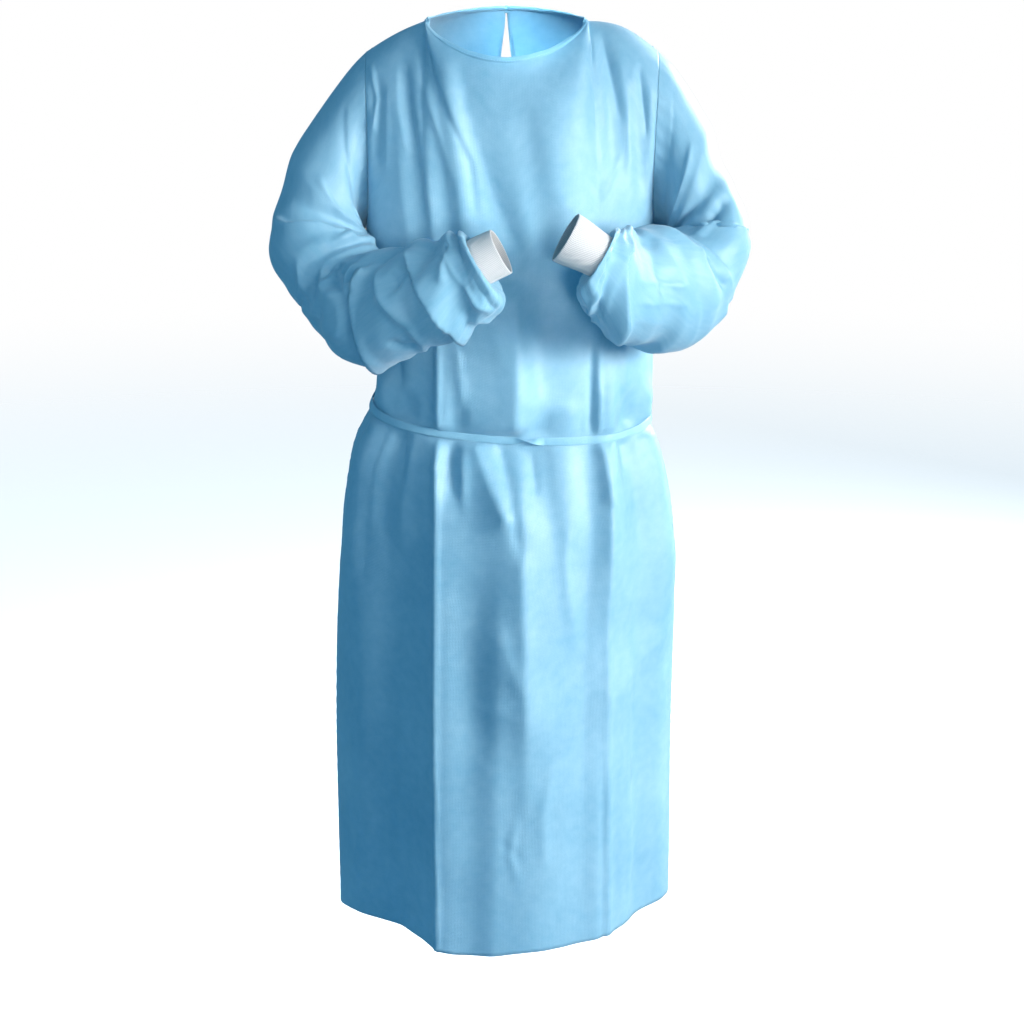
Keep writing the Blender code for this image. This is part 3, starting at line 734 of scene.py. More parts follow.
def flat_chart(grid: Array, round_closed: bool = False) -> Array:
    """Flat places of a grid's points, in metres along and up the cloth.

    Args:
        grid: The grid.
        round_closed: True if each row closes on itself, which adds a last column to the chart.

    Returns:
        Length along the rows, from the middle, and up the columns.
    """
    whole = np.concatenate([grid, grid[:, :1]], axis=1) if round_closed else grid
    across = running_length(whole, 1)
    return np.stack([across - across[:, -1:] / 2, running_length(whole, 0)], -1)


def swept_band(path: Array, wide: Array, thick: Array, width: Array, depth: Array, sides: int) -> Array:
    """Sections of a flattened tube along a path.

    Args:
        path: Its middle line.
        wide: Direction of its width at each point.
        thick: Direction of its thickness at each point.
        width: Its width at each point.
        depth: Its thickness at each point.
        sides: Points in each section.

    Returns:
        A grid that is closed round each row.
    """
    turns = np.linspace(0, 2 * math.pi, sides, endpoint=False)[None, :, None]
    across = signed_power(np.cos(turns), 0.55) * width[:, None, None] / 2
    through = signed_power(np.sin(turns), 0.8) * depth[:, None, None] / 2
    return path[:, None] + wide[:, None] * across + thick[:, None] * through


def cap_ends(grid: Array) -> Array:
    """Close both ends of a tube with rows drawn in to its middle.

    Args:
        grid: The tube.

    Returns:
        The tube with two more rows at each end.
    """
    first, last = grid[0], grid[-1]
    middle_first, middle_last = first.mean(0), last.mean(0)
    start = [middle_first + (first - middle_first) * share for share in (0.02, 0.6)]
    end = [middle_last + (last - middle_last) * share for share in (0.6, 0.02)]
    return np.concatenate([start, grid, end])


# --- The form of the worn gown --------------------------------------------------------------------------


class Section(NamedTuple):
    """One level section of the body."""

    height: float
    centre: float
    half_width: float
    front: float
    back: float
    squareness: float


class HemLift(NamedTuple):
    """A place where the hem is drawn up."""

    angle: float
    half_angle: float
    rise: float


class BackEdge(NamedTuple):
    """How far each back panel runs past the centre back."""

    height: float
    past_centre: float


class Gather(NamedTuple):
    """A fold that runs from the belt."""

    angle: float
    half_angle: float
    above: float
    below: float
    depth: float
    lean: float


class Crease(NamedTuple):
    """A long fold, as a line seen from the front or the back."""

    x_top: float
    z_top: float
    x_bottom: float
    z_bottom: float
    half_width: float
    depth: float


# The long tables hold whole numbers, and each column is divided by its own unit to give metres, degrees or shares.
CREASE_UNITS = (1000, 1000, 1000, 1000, 1000, 10000)


def table(kind: type, units: Sequence[int], *rows: tuple[int, ...]) -> tuple:
    """Named rows from whole numbers.

    Args:
        kind: The type of a row.
        units: What each column is divided by.
        rows: The numbers.

    Returns:
        The rows.
    """
    return tuple(kind(*(value / unit for value, unit in zip(row, units))) for row in rows)


@dataclass
class BodyForm:
    """The smooth worn form of the front and the backs, and the large folds of their solids."""

    hem_height: float = -1.143
    hem_tilt: float = 0.030
    belt_level: float = -0.4750
    belt_drop_left: float = 0.0080
    belt_drop_front: float = 0.0170
    belt_reach: float = 0.15
    underarm_height: float = -0.250
    neck_half_width: float = 0.098
    neck_front: float = 0.082
    neck_front_drop: float = 0.043
    neck_back: float = 0.062
    neck_back_rise: float = 0.011
    shoulder_share: float = 0.625
    side_seam: float = 0.0005
    shoulder_seam: float = 0.0009
    half_columns: int = 84
    rows_below: int = 176
    rows_above: int = 84
    shoulder_tip: dict[int, Point] = field(
        default_factory=lambda: {-1: (-0.170, 0.005, -0.037), 1: (0.184, 0.005, -0.036)}
    )
    shoulder_crown: dict[int, float] = field(default_factory=lambda: {-1: 0.003, 1: 0.011})
    pull_over_shoulder: Point = (0.0, 0.24, 0.03)
    pull_up_to_neck: dict[int, Point] = field(default_factory=lambda: {-1: (0.0, 0.05, 0.19), 1: (0.0, 0.13, 0.15)})
    pull_at_armhole: Point = (0.035, 0.19, 0.15)
    pull_at_centre: Point = (0.0, 0.03, 0.25)
    sections: tuple[Section, ...] = table(
        Section,
        (1000, 1000, 10000, 1000, 1000, 100),
        (-1180, -3, 2190, 182, 166, 175), (-1020, -4, 2195, 174, 164, 180), (-870, -4, 2190, 165, 160, 190),
        (-740, -1, 2170, 157, 155, 200), (-650, 2, 2130, 150, 150, 210), (-570, 2, 2040, 140, 141, 215),
        (-520, 2, 1925, 130, 131, 220), (-483, 5, 1765, 119, 121, 225), (-467, 7, 1730, 117, 119, 225),
        (-440, 10, 1725, 120, 121, 225), (-400, 11, 1725, 115, 118, 225), (-330, 7, 1700, 102, 113, 222),
        (-290, 5, 1745, 99, 111, 220), (-250, 5, 1780, 103, 110, 225), (-180, 6, 1780, 100, 108, 225),
    )
    back_squareness: float = 2.20
    hem_lifts: tuple[HemLift, ...] = (HemLift(-56, 40, 0.015), HemLift(66, 36, 0.009), HemLift(-12, 24, -0.004))
    back_edge: tuple[BackEdge, ...] = table(
        BackEdge,
        (1000, 10000),
        (-1180, 520), (-700, 340), (-480, 200), (-330, 40), (-200, -100), (-100, -120), (-45, -75), (0, -14),
        (20, -10),
    )
    gathers: tuple[Gather, ...] = table(
        Gather,
        (1, 1, 1000, 1000, 10000, 1),
        (-29, 8, 90, 120, 24, 0), (-20, 6, 50, 90, -40, 3), (-8, 7, 30, 120, 20, 12), (6, 9, 50, 120, -45, 4),
        (19, 8, 60, 160, 40, 2), (38, 8, 90, 260, 60, -5), (51, 9, 60, 200, -60, 0), (70, 12, 70, 300, 80, 2),
        (104, 11, 60, 260, -80, 2), (122, 11, 80, 400, 100, -2), (141, 10, 60, 260, -80, 0),
        (155, 8, 50, 220, 50, 2), (-46, 9, 50, 180, -55, 0), (-66, 12, 70, 280, 80, -2),
        (-104, 11, 60, 240, -80, 0), (-123, 11, 80, 380, 100, 2), (-142, 10, 60, 260, -80, 0),
        (-156, 8, 50, 200, 50, -2),
    )

    def belt_height(self, angle: Array | float) -> Array:
        """Height of the middle of the belt, round the body."""
        return self.belt_level - self.belt_drop_left * np.sin(angle) - self.belt_drop_front * np.cos(angle)

    def section_point(self, angle: Array, height: Array) -> Array:
        """Points of the smooth body below the underarm.

        Args:
            angle: From the centre front towards +X.
            height: Height before the slopes of belt and hem.

        Returns:
            The points.
        """
        angle, height = np.broadcast_arrays(np.asarray(angle, float), np.asarray(height, float))
        levels = np.array(self.sections)
        shape = curve_through(levels[:, 0], levels[:, 1:], height)
        centre, half_width, front, back, squareness = np.moveaxis(shape, -1, 0)
        depth = np.where(np.cos(angle) > 0, front, back)
        power = 2 / np.where(np.cos(angle) > 0, squareness, self.back_squareness)
        x = centre + half_width * signed_power(np.sin(angle), power)
        y = -depth * signed_power(np.cos(angle), power)
        near_belt = np.exp(-(((height - self.belt_level) / self.belt_reach) ** 2))
        near_hem = smooth_step(height, -0.6, self.hem_height)
        degrees = np.degrees(angle)
        rise = self.hem_tilt * x
        for lift in self.hem_lifts:
            rise = rise + lift.rise * swell(degrees - lift.angle, lift.half_angle)
        z = height + near_belt * (self.belt_height(angle) - self.belt_level) + near_hem * rise
        return np.stack([x, y, z], -1)

    def neck_point(self, turn: Array, facing: int) -> Array:
        """Points of the neck edge.

        Args:
            turn: From -90 degrees at -X to 90 at +X, in radians.
            facing: -1 for the front and 1 for the back.

        Returns:
            The points.
        """
        depth, rise = (self.neck_front, -self.neck_front_drop) if facing < 0 else (self.neck_back, self.neck_back_rise)
        level = np.cos(turn)
        return np.stack([self.neck_half_width * np.sin(turn), facing * depth * level, rise * level**1.6], -1)

    def top_edge(self, inwards: Array, side: int, facing: int) -> tuple[Array, Array]:
        """End of each column on the shoulder seam and neck.

        Args:
            inwards: 0 at the armhole and 1 at the centre.
            side: Sign of the side's X.
            facing: -1 for the front and 1 for the back.

        Returns:
            The points and the pulls there.
        """
        tip = np.array(self.shoulder_tip[side]) + (0, facing * self.shoulder_seam / 2, 0)
        neck = np.array([side * self.neck_half_width, facing * self.shoulder_seam / 2, 0.0])
        along = np.clip(inwards / self.shoulder_share, 0, 1)[..., None]
        crown = np.array([0, 0, self.shoulder_crown[side]]) * np.sin(np.pi * along)
        shoulder = tip + (neck - tip) * along + crown
        turned = np.clip((inwards - self.shoulder_share) / (1 - self.shoulder_share), 0, 1)
        turn = side * (np.pi / 2) * (1 - turned)
        on_neck = self.neck_point(turn, facing)
        on_neck[..., 1] += facing * self.shoulder_seam / 2 * np.abs(np.sin(turn))
        point = np.where((inwards <= self.shoulder_share)[..., None], shoulder, on_neck)
        signs = (1, -facing, 1)
        over, up = (np.array(pull) * signs for pull in (self.pull_over_shoulder, self.pull_up_to_neck[facing]))
        return point, over + (up - over) * smooth_step(inwards, self.shoulder_share, 1.0)[..., None]

    def yoke_point(self, inwards: Array, rise: Array, side: int, facing: int) -> Array:
        """Points above the underarm.

        Args:
            inwards: 0 at the armhole and 1 at the centre.
            rise: 0 at the underarm's height and 1 at the top.
            side: Sign of the side's X.
            facing: -1 for the front and 1 for the back.

        Returns:
            The points.
        """
        inwards, rise = np.broadcast_arrays(np.asarray(inwards, float), np.asarray(rise, float))
        turn = np.pi / 2 * (1 - inwards)
        angle = side * (turn if facing < 0 else np.pi - turn)
        start = self.section_point(angle, self.underarm_height)
        end, end_pull = self.top_edge(inwards, side, facing)
        signs = (-side, facing, 1)
        at_edge, inside = (np.array(pull) * signs for pull in (self.pull_at_armhole, self.pull_at_centre))
        start_pull = at_edge + (inside - at_edge) * smooth_step(inwards, 0.0, 0.45)[..., None]
        return hermite(start, end, start_pull, end_pull, rise[..., None])

    def half_panel(self, columns: Array, side: int, facing: int) -> tuple[Array, Array]:
        """Smooth grid of a half panel.

        Args:
            columns: Places from the side seam (0) to the centre (1) or past it, one row or a row for each height.
            side: Sign of the side's X.
            facing: -1 for the front and 1 for the back.

        Returns:
            The points, and their angles round the body.
        """
        rows = self.rows_below + self.rows_above
        columns = np.broadcast_to(columns, (rows, columns.shape[-1]))
        turn = np.pi / 2 * (1 - columns)
        angles = side * (turn if facing < 0 else np.pi - turn)
        heights = np.linspace(self.hem_height, self.underarm_height, self.rows_below)[:, None]
        rises = np.linspace(0, 1, self.rows_above + 1)[1:, None]
        below = self.section_point(angles[: self.rows_below], heights)
        above = self.yoke_point(columns[self.rows_below :], rises, side, facing)
        return np.concatenate([below, above]), angles

    def creases_at(self, points: Array, creases: Sequence[Crease]) -> Array:
        """Depth of the long folds, as seen from the front or back.

        Args:
            points: Points of the panel.
            creases: Its folds.

        Returns:
            Their depth at each point.
        """
        depth = np.zeros(points.shape[:-1])
        for crease in creases:
            top = np.array([crease.x_top, crease.z_top])
            line = np.array([crease.x_bottom, crease.z_bottom]) - top
            offset = points[..., (0, 2)] - top
            along = offset @ line / (line @ line)
            across = (offset[..., 0] * line[1] - offset[..., 1] * line[0]) / np.linalg.norm(line)
            ends = smooth_step(along, -0.02, 0.2) * smooth_step(-along, -1.02, -0.8)
            depth += crease.depth * swell(across, crease.half_width) * ends
        return depth

    def from_belt(self, angles: Array, points: Array) -> Array:
        """Height of points over the belt's middle."""
        return points[..., 2] - self.belt_height(angles)

    def gathers_at(self, angles: Array, points: Array) -> Array:
        """Depth of the folds that the belt draws together.

        Args:
            angles: Angles of the points round the body.
            points: Points of the panel.

        Returns:
            The folds' depth at each point.
        """
        degrees = np.degrees(angles)
        above_belt = self.from_belt(angles, points)
        depth = np.zeros(points.shape[:-1])
        for gather in self.gathers:
            reach = np.where(above_belt > 0, gather.above, gather.below)
            share = np.abs(above_belt) / reach
            middle = gather.angle + gather.lean * np.clip(-above_belt / gather.below, 0, 1)
            ends = smooth_step(np.abs(above_belt), 0.003, 0.014) * (1 - smooth_step(share, 0.5, 1.0))
            depth += gather.depth * swell(degrees - middle, gather.half_angle) * ends
        return depth


# --- Sewn pieces ----------------------------------------------------------------------------------------


@dataclass
class Panels:
    """The front and the two backs."""

    form: BodyForm
    wall: float = 0.0004
    cloth: NonwovenFinish = NonwovenFinish()
    allowance: tuple[float, ...] = (0.0012, 0.0035, 0.0065, 0.0095)
    slack: float = 0.0002
    overlap_lift: float = 0.0030
    overlap_fade: float = 0.08
    seam_fade: float = 0.14
    rows_held: int = 18
    half_girth: float = 0.29
    front_creases: tuple[Crease, ...] = table(
        Crease,
        CREASE_UNITS,
        (124, -300, 118, -1450, 26, 40), (-140, -560, -148, -1450, 50, -120), (168, -560, 180, -1450, 30, -90),
        (-95, -10, -62, -300, 22, -50), (-125, -30, -98, -290, 18, -36), (-74, -20, -40, -300, 20, 24),
        (-155, -60, -158, -180, 16, -50), (-40, -60, 35, -440, 34, -50), (60, -60, 85, -400, 40, 60),
        (115, -20, 135, -190, 20, -60), (158, -60, 165, -210, 16, -50), (-40, -520, -50, -900, 45, -30),
        (60, -540, 30, -1450, 50, 50), (-40, -620, -50, -1450, 34, -50),
    )
    back_creases: tuple[Crease, ...] = table(
        Crease,
        CREASE_UNITS,
        (-60, -20, -85, -400, 24, -70), (75, -20, 95, -380, 26, -70), (-115, -40, -130, -380, 24, 55),
        (130, -40, 140, -300, 22, 50), (-105, -540, -120, -1450, 36, 80), (100, -540, 125, -1450, 36, 80),
        (-76, -580, -82, -1450, 26, -65), (74, -560, 84, -1450, 26, -70), (-160, -560, -172, -1450, 30, -70),
        (158, -560, 170, -1450, 30, -70),
    )
    front_folds: tuple[Fold, ...] = Fold.rows(
        (1000, 1000),
        # chest, from the neck to the right forearm
        ((-99, -10, -89, -60, -67, -109, -43, -161, -34, -235), -32, 7, 18),
        ((-108, -14, -101, -70, -82, -125, -60, -190), 20, 12, 10),
        ((-119, -39, -115, -99, -103, -177, -94, -252), -32, 7, 16),
        ((-131, -45, -128, -100, -118, -160), 20, 12, 10), ((-164, -45, -155, -89, -162, -135), 35, 7, 10),
        ((-60, -40, -40, -120, -16, -200, 28, -295), -45, 26, 60, 0.2, 0.003),
        ((24, -50, 45, -130, 66, -220, 90, -300), 30, 60, 40, 0.2, 0.006),
        ((12, -290, 14, -496), 140, 50, 95, 0.15, 0.002),
        ((14, -484, 18, -620, 24, -900), 150, 70, 95, 0.25, 0.003),
        ((12, -300, 14, -496), 100, 30, 120, 0.15, 0.003),
        ((14, -484, 18, -620, 24, -1000), 70, 50, 120, 0.25, 0.003),
        # chest, left of the neck
        ((98, -6, 112, -60, 120, -130), 26, 10, 10), ((112, -8, 126, -55, 140, -120), -36, 10, 10),
        ((158, -44, 166, -90, 173, -140), -36, 8, 10), ((112, -205, 126, -178, 142, -149), 22, 10, 6),
        # pressed packing folds
        ((-81, -300, -80, -496), 26, 6, 6, 0.1), ((-81, -300, -80, -496), 60, 120, 16, 0.1),
        ((-83, -486, -87, -816, -86, -1220), 34, 8, 7, 0.06),
        ((-83, -486, -87, -816, -86, -1220), 80, 150, 24, 0.06), ((112, -345, 110, -496), 40, 7, 6, 0.12),
        ((104, -370, 102, -492), -30, 8, 6, 0.2), ((124, -486, 126, -816, 128, -1220), 34, 10, 12, 0.06),
        ((120, -880, 121, -1220), -22, 7, 5, 0.2), ((156, -660, 162, -1150), 26, 16, 12, 0.1),
        ((-150, -760, -158, -1180), 18, 14, 14, 0.3),
        # drawn in by the belt
        ((-82, -484, -81, -588), 36, 9, 10, 0.3), ((-68, -484, -64, -570), -26, 11, 10, 0.4),
        ((-54, -484, -50, -590), 36, 11, 12, 0.4), ((-44, -484, -24, -535, 6, -600), 75, 24, 45, 0.16),
        ((-12, -484, 4, -550, 20, -640), -60, 22, 14, 0.2), ((30, -505, 36, -560), -26, 10, 10, 0.2),
        ((108, -484, 116, -520, 124, -580), 46, 10, 10, 0.15), ((140, -496, 146, -540), -30, 9, 10, 0.2),
        ((-125, -480, -130, -560), -30, 10, 12, 0.2),
        # soft breaks in the skirt
        ((-14, -700, 0, -750, 22, -810), 30, 18, 60, 0.3), ((14, -955, 4, -1010, 18, -1060), 16, 10, 10, 0.3),
        ((-12, -990, 20, -1020), -12, 9, 9, 0.3), ((60, -880, 44, -960, 48, -1050), 22, 16, 16, 0.3),
        ((78, -560, 70, -640, 86, -760), 26, 20, 18, 0.3), ((-118, -640, -104, -760), 14, 16, 14, 0.3),
        # between the forearms and the belt
        ((-140, -330, -128, -440), -30, 12, 12, 0.25), ((-60, -370, -50, -450), 26, 12, 12, 0.25),
        ((20, -360, 30, -470), 36, 22, 18, 0.25), ((140, -340, 148, -450), 24, 12, 10, 0.25),
    )
    back_folds: tuple[Fold, ...] = Fold.rows(
        (1000, 1000),
        ((-70, -10, -86, -120, -104, -240), -36, 12, 10), ((-30, -20, -36, -100, -48, -200), 26, 10, 12),
        ((80, -12, 92, -110, 116, -230), -34, 10, 12), ((45, -16, 46, -120, 60, -210), 26, 12, 10),
        ((-85, -480, -94, -800, -98, -1220), 40, 12, 12, 0.06),
        ((90, -480, 100, -800, 104, -1220), 40, 12, 12, 0.06), ((-140, -490, -152, -620), 36, 10, 12, 0.15),
        ((-60, -495, -52, -600), 36, 10, 12, 0.15), ((52, -495, 60, -590), -32, 10, 10, 0.15),
        ((122, -490, 134, -640), 40, 12, 10, 0.15), ((-120, -330, -110, -450), -28, 12, 12, 0.25),
        ((120, -300, 128, -440), 28, 12, 12, 0.25), ((-150, -700, -138, -860), 26, 16, 16, 0.3),
        ((150, -760, 140, -930), -24, 14, 16, 0.3), ((60, -820, 74, -960), 26, 16, 14, 0.3),
    )
    crumples: tuple[Crumple, ...] = (
        Crumple(0.090, 0.0032, 11, 1.5, 0.35),
        Crumple(0.038, 0.0013, 23, 1.3, 1.1),
    )

    def depth_of(self, grid: Array, angles: Array, creases: Sequence[Crease], folds: Sequence[Fold]) -> Array:
        """How far all the folds and crumples of a panel lift it.

        Args:
            grid: Its smooth points.
            angles: Their angles round the body.
            creases: Its long folds.
            folds: Its sharper folds.

        Returns:
            The lift at each point.
        """
        seen = grid[..., (0, 2)]
        depth = self.form.creases_at(grid, creases) + self.form.gathers_at(angles, grid)
        depth = depth + sum(fold.height(seen) for fold in folds)
        strength = (0.55 + 0.9 * drift(seen, 0.11, 3)) * (1 - 0.6 * smooth_step(grid[..., 2], -0.48, -0.36))
        chart = flat_chart(grid)
        small = sum(crumple.height(chart) for crumple in self.crumples) * strength
        clear_of_belt = smooth_step(np.abs(self.form.from_belt(angles, grid)), 0.003, 0.009)
        return (depth + small) * clear_of_belt + self.form.creases_at(grid, creases) * (1 - clear_of_belt)

    def front(self) -> Array:
        """Grid of the front with its folds.

        Returns:
            The grid, from the right side seam to the left.
        """
        form = self.form
        columns = np.linspace(0, 1, form.half_columns + 1)
        right, right_angles = form.half_panel(columns, -1, -1)
        left, left_angles = form.half_panel(columns, 1, -1)
        grid = np.concatenate([right, left[:, -2::-1]], axis=1)
        angles = np.concatenate([right_angles, left_angles[:, -2::-1]], axis=1)
        grid[:, 0, 1] -= form.side_seam / 2
        grid[:, -1, 1] -= form.side_seam / 2
        inwards = np.concatenate([columns, columns[-2::-1]])
        fade = smooth_step(inwards, 0.0, self.seam_fade)
        depth = self.depth_of(grid, angles, self.front_creases, self.front_folds) * fade
        depth = depth * self.top_hold(depth.shape[0])
        depth = depth + self.side_pucker(grid, np.broadcast_to(inwards, depth.shape), 1)
        return grid + grid_normals(grid) * depth[..., None]

    def top_hold(self, rows: int) -> Array:
        """Share of the folds' depth in each row, less towards the shoulder and neck edge."""
        return (1 - 0.6 * smooth_step(np.arange(rows), rows - self.rows_held, rows - 1))[:, None]

    def side_pucker(self, grid: Array, inwards: Array, seed: int) -> Array:
        """Ripples beside the side seam and armhole."""
        from_seam = inwards * self.half_girth + 0.0005
        return seam_pucker(running_length(grid, 0), from_seam, seed) * smooth_step(inwards, 0, 0.01)

    def back_columns(self, side: int) -> Array:
        """Column places of a back panel in each row, so that its free edge follows its table.

        Args:
            side: Sign of the side's X.

        Returns:
            The places, a row for each height.
        """
        form = self.form
        edge = np.array(form.back_edge)
        samples = np.linspace(0.85, 1.12, 28)
        near_centre, _ = form.half_panel(samples, side, 1)
        centre_line, _ = form.half_panel(np.array([1.0]), side, 1)
        past = curve_through(edge[:, 0], edge[:, 1], centre_line[:, 0, 2])
        steps = np.linspace(0, 1, form.half_columns + 1)
        rows = []
        for points, centre, reach in zip(near_centre, centre_line, past):
            beyond = -side * (points[:, 0] - centre[0, 0])
            rows.append(steps * np.interp(reach, beyond, samples))
        return np.array(rows)

    def back(self, side: int) -> Array:
        """Grid of one back with its folds.

        Args:
            side: Sign of the side's X.

        Returns:
            The grid, anticlockwise seen from above.
        """
        form = self.form
        columns = self.back_columns(side)
        grid, angles = form.half_panel(columns, side, 1)
        grid = grid.copy()
        grid[:, 0, 1] += form.side_seam / 2
        from_edge = np.abs(columns - 1.0) * 0.27
        lift = -side * self.overlap_lift * (1 - smooth_step(from_edge, 0.0, self.overlap_fade))
        lift = lift * (1 - smooth_step(grid[..., 2], -0.25, -0.15))
        if side < 0:
            grid, angles, columns, lift = grid[:, ::-1], angles[:, ::-1], columns[:, ::-1], lift[:, ::-1]
        fade = smooth_step(columns, 0.0, self.seam_fade) * (0.35 + 0.65 * smooth_step(np.abs(columns - 1.0), 0.0, 0.2))
        depth = self.depth_of(grid, angles, self.back_creases, self.back_folds) * fade * self.top_hold(len(grid))
        depth = depth + self.side_pucker(grid, columns, 4 + side)
        return grid + grid_normals(grid) * (depth + lift)[..., None]

    def with_allowances(self, grid: Array, first: bool, last: bool, facing: int) -> Array:
        """Add turned-in edges at the sewn sides and shoulders.

        Args:
            grid: The panel.
            first: True if its first column is sewn.
            last: True if its last column is sewn.
            facing: -1 for the front and 1 for the back.

        Returns:
            The larger grid.
        """
        normals = grid_normals(grid)
        slack = np.array([0.0, facing * self.slack, 0.0])
        before = [grid[:, 0] + slack - normals[:, 0] * depth for depth in self.allowance[::-1] if first]
        after = [grid[:, -1] + slack - normals[:, -1] * depth for depth in self.allowance if last]
        wide = np.stack([*before, *np.moveaxis(grid, 1, 0), *after], axis=1)
        rim = grid_normals(wide)[-1]
        neck = self.form.neck_half_width
        on_shoulder = smooth_step(np.abs(wide[-1, :, 0]), neck - 0.001, neck + 0.004)
        rows = [wide[-1] - rim * (depth * on_shoulder)[..., None] + slack for depth in self.allowance]
        return np.concatenate([wide, np.array(rows)], axis=0)

    def build(self, wardrobe: Wardrobe) -> tuple[Array, dict[int, Array]]:
        """Make the three panels.

        Args:
            wardrobe: The finishes.

        Returns:
            The front's grid and each back's, without their turned-in edges.
        """
        front = self.front()
        whole = self.with_allowances(front, True, True, -1)
        cloth = Cloth(whole, flat_chart(whole))
        piece = wardrobe.hang(cloth, "front_cloth", self.cloth, "front_panel", self.wall)
        backs = {}
        for side in Side:
            grid = self.back(side.value)
            whole = self.with_allowances(grid, side is Side.LEFT, side is Side.RIGHT, 1)
            cloth = Cloth(whole, flat_chart(whole))
            piece = wardrobe.hang(
                cloth, f"back_cloth_{side.hand}", self.cloth, f"back_panel_{side.hand}", self.wall
            )
            backs[side.value] = grid
        return front, backs


def dress(piece: bpy.types.Object, slot: Slot, *nodes: str) -> None:
    """Let a piece ride on the gown and stand for its solids.

    Args:
        piece: The piece.
        slot: Its material slot in the record; not used.
        nodes: The solids that it replaces, if any.
    """
    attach(piece, BODY)
    if nodes:
        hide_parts(*nodes)
    LOG.info("%s: %d faces", piece.name, len(piece.data.polygons))


class Bunch(NamedTuple):
    """A large bunch of the sleeve's cloth."""

    share: float
    half_share: float
    slant: float
    depth: float


@dataclass
class SleeveForm:
    """One sleeve's rings, bunches and folds, the lips where one bag of cloth hangs over the next, and its cuff.

    A ring is its inner end, its outer end, and its breadths away from and near the body, in tenths of a millimetre.
    """

    side: Side
    rings: tuple[tuple[int, ...], ...]
    bunches: tuple[Bunch, ...]
    lips: tuple[Fold, ...]
    folds: tuple[Fold, ...]
    mouth: Point
    mouth_radius: float


BUNCH_UNITS = (1000, 1000, 100, 10000)
DOWN_AND_ROUND = (1000, 1)

RIGHT_SLEEVE = SleeveForm(
    side=Side.RIGHT,
    rings=(
        (-1760, -60, -2505, -1960, 80, -640, 640, 640), (-1750, -140, -2515, -2260, 80, -1040, 690, 680),
        (-1720, -240, -2510, -2540, 60, -1470, 730, 700), (-1680, -360, -2505, -2750, 20, -1950, 760, 700),
        (-1670, -480, -2500, -2780, -60, -2430, 780, 600), (-1640, -620, -2500, -2700, -180, -2880, 790, 500),
        (-1630, -760, -2510, -2470, -360, -3300, 780, 430), (-1640, -900, -2550, -2150, -600, -3660, 760, 380),
        (-1590, -1060, -2570, -1810, -900, -3920, 730, 360), (-1510, -1260, -2620, -1500, -1200, -4040, 700, 400),
        (-1310, -1480, -2530, -1220, -1460, -3880, 660, 420), (-1080, -1720, -2440, -900, -1720, -3700, 620, 480),
        (-840, -1960, -2350, -620, -1980, -3530, 580, 490), (-640, -2180, -2270, -340, -2220, -3340, 530, 470),
        (-540, -2350, -2215, -60, -2440, -3120, 470, 430), (-470, -2460, -2240, -30, -2520, -2920, 380, 350),
        (-441, -2500, -2292, -179, -2500, -2798, 285, 285),
    ),
    bunches=table(
        Bunch,
        BUNCH_UNITS,
        (240, 50, 3, -60), (360, 50, 4, 50), (470, 40, 5, -70), (575, 40, 5, 40), (645, 34, 5, -50),
        (715, 40, 5, 40), (785, 34, 4, -70), (850, 36, 4, 50), (910, 30, 2, -60),
    ),
    lips=Fold.rows(
        DOWN_AND_ROUND,
        ((262, 46, 298, 84, 304, 122, 350, 152, 440, 167), 75, 6, 34),
        ((540, -50, 578, 0, 622, 40, 638, 70, 640, 105, 657, 132, 672, 152), 110, 5, 36, 0.14),
        ((838, -50, 852, 0, 853, 44, 832, 78, 804, 111, 784, 138, 765, 165), 130, 5, 40, 0.1),
        ((430, 10, 445, 50, 460, 85), 60, 6, 26, 0.3), ((640, -140, 660, -90, 650, -50), 70, 6, 30, 0.3),
        ((400, -110, 430, -70, 420, -25), 60, 6, 30, 0.3),
    ),
    folds=Fold.rows(
        DOWN_AND_ROUND,
        ((160, 80, 190, 110, 220, 135), 24, 6, 10), ((120, 120, 150, 150), 22, 6, 10),
        ((686, 148, 712, 112, 745, 88, 765, 68, 762, 35, 716, -15), 85, 18, 14),
        ((794, 134, 775, 111, 742, 94), 50, 10, 10, 0.25), ((735, 130, 752, 116, 760, 104), -50, 10, 10, 0.3),
        ((466, 128, 502, 114, 560, 112, 603, 116), 95, 14, 22, 0.2),
        ((510, 140, 560, 130, 603, 116), -50, 10, 12, 0.2), ((657, 140, 638, 122, 603, 116), 80, 14, 10, 0.2),
        ((594, 150, 603, 132, 612, 118), 45, 8, 8, 0.25), ((603, 116, 598, 88, 570, 62), 45, 14, 12, 0.3),
        ((370, 100, 430, 92, 500, 84), 45, 20, 14, 0.3), ((878, 145, 869, 116, 861, 96), 45, 10, 9, 0.25),
        ((886, 140, 895, 105, 920, 63, 950, 26), 50, 12, 10, 0.2), ((700, 60, 735, 30, 760, 34), -40, 12, 12, 0.3),
        ((530, 140, 560, 140), -36, 8, 8, 0.3), ((480, 60, 520, 75, 555, 95), -32, 10, 12),
        ((930, 168, 945, 120, 956, 78, 956, 12), -40, 8, 9), ((900, 160, 915, 110, 915, 60, 900, 10), 30, 10, 8),
        ((860, 122, 880, 138, 894, 152), -48, 8, 8), ((890, 40, 920, 10, 940, -20), 32, 9, 8),
        ((400, 20, 430, 60, 440, 95), 30, 10, 16), ((330, -60, 370, -20, 380, 30), 32, 10, 18),
        ((500, -70, 530, -30, 520, 10), 34, 10, 18), ((640, -90, 660, -50, 650, -15), 34, 10, 18),
        ((60, 40, 75, 80, 70, 120), -36, 8, 12), ((50, -120, 70, -80, 60, -40), -34, 8, 12),
        ((200, -110, 240, -70, 230, -30), 30, 10, 16), ((820, -150, 840, -100, 830, -60), 36, 8, 18),
    ),
    mouth=(-0.0050, -0.2525, -0.2410),
    mouth_radius=0.0270,
)

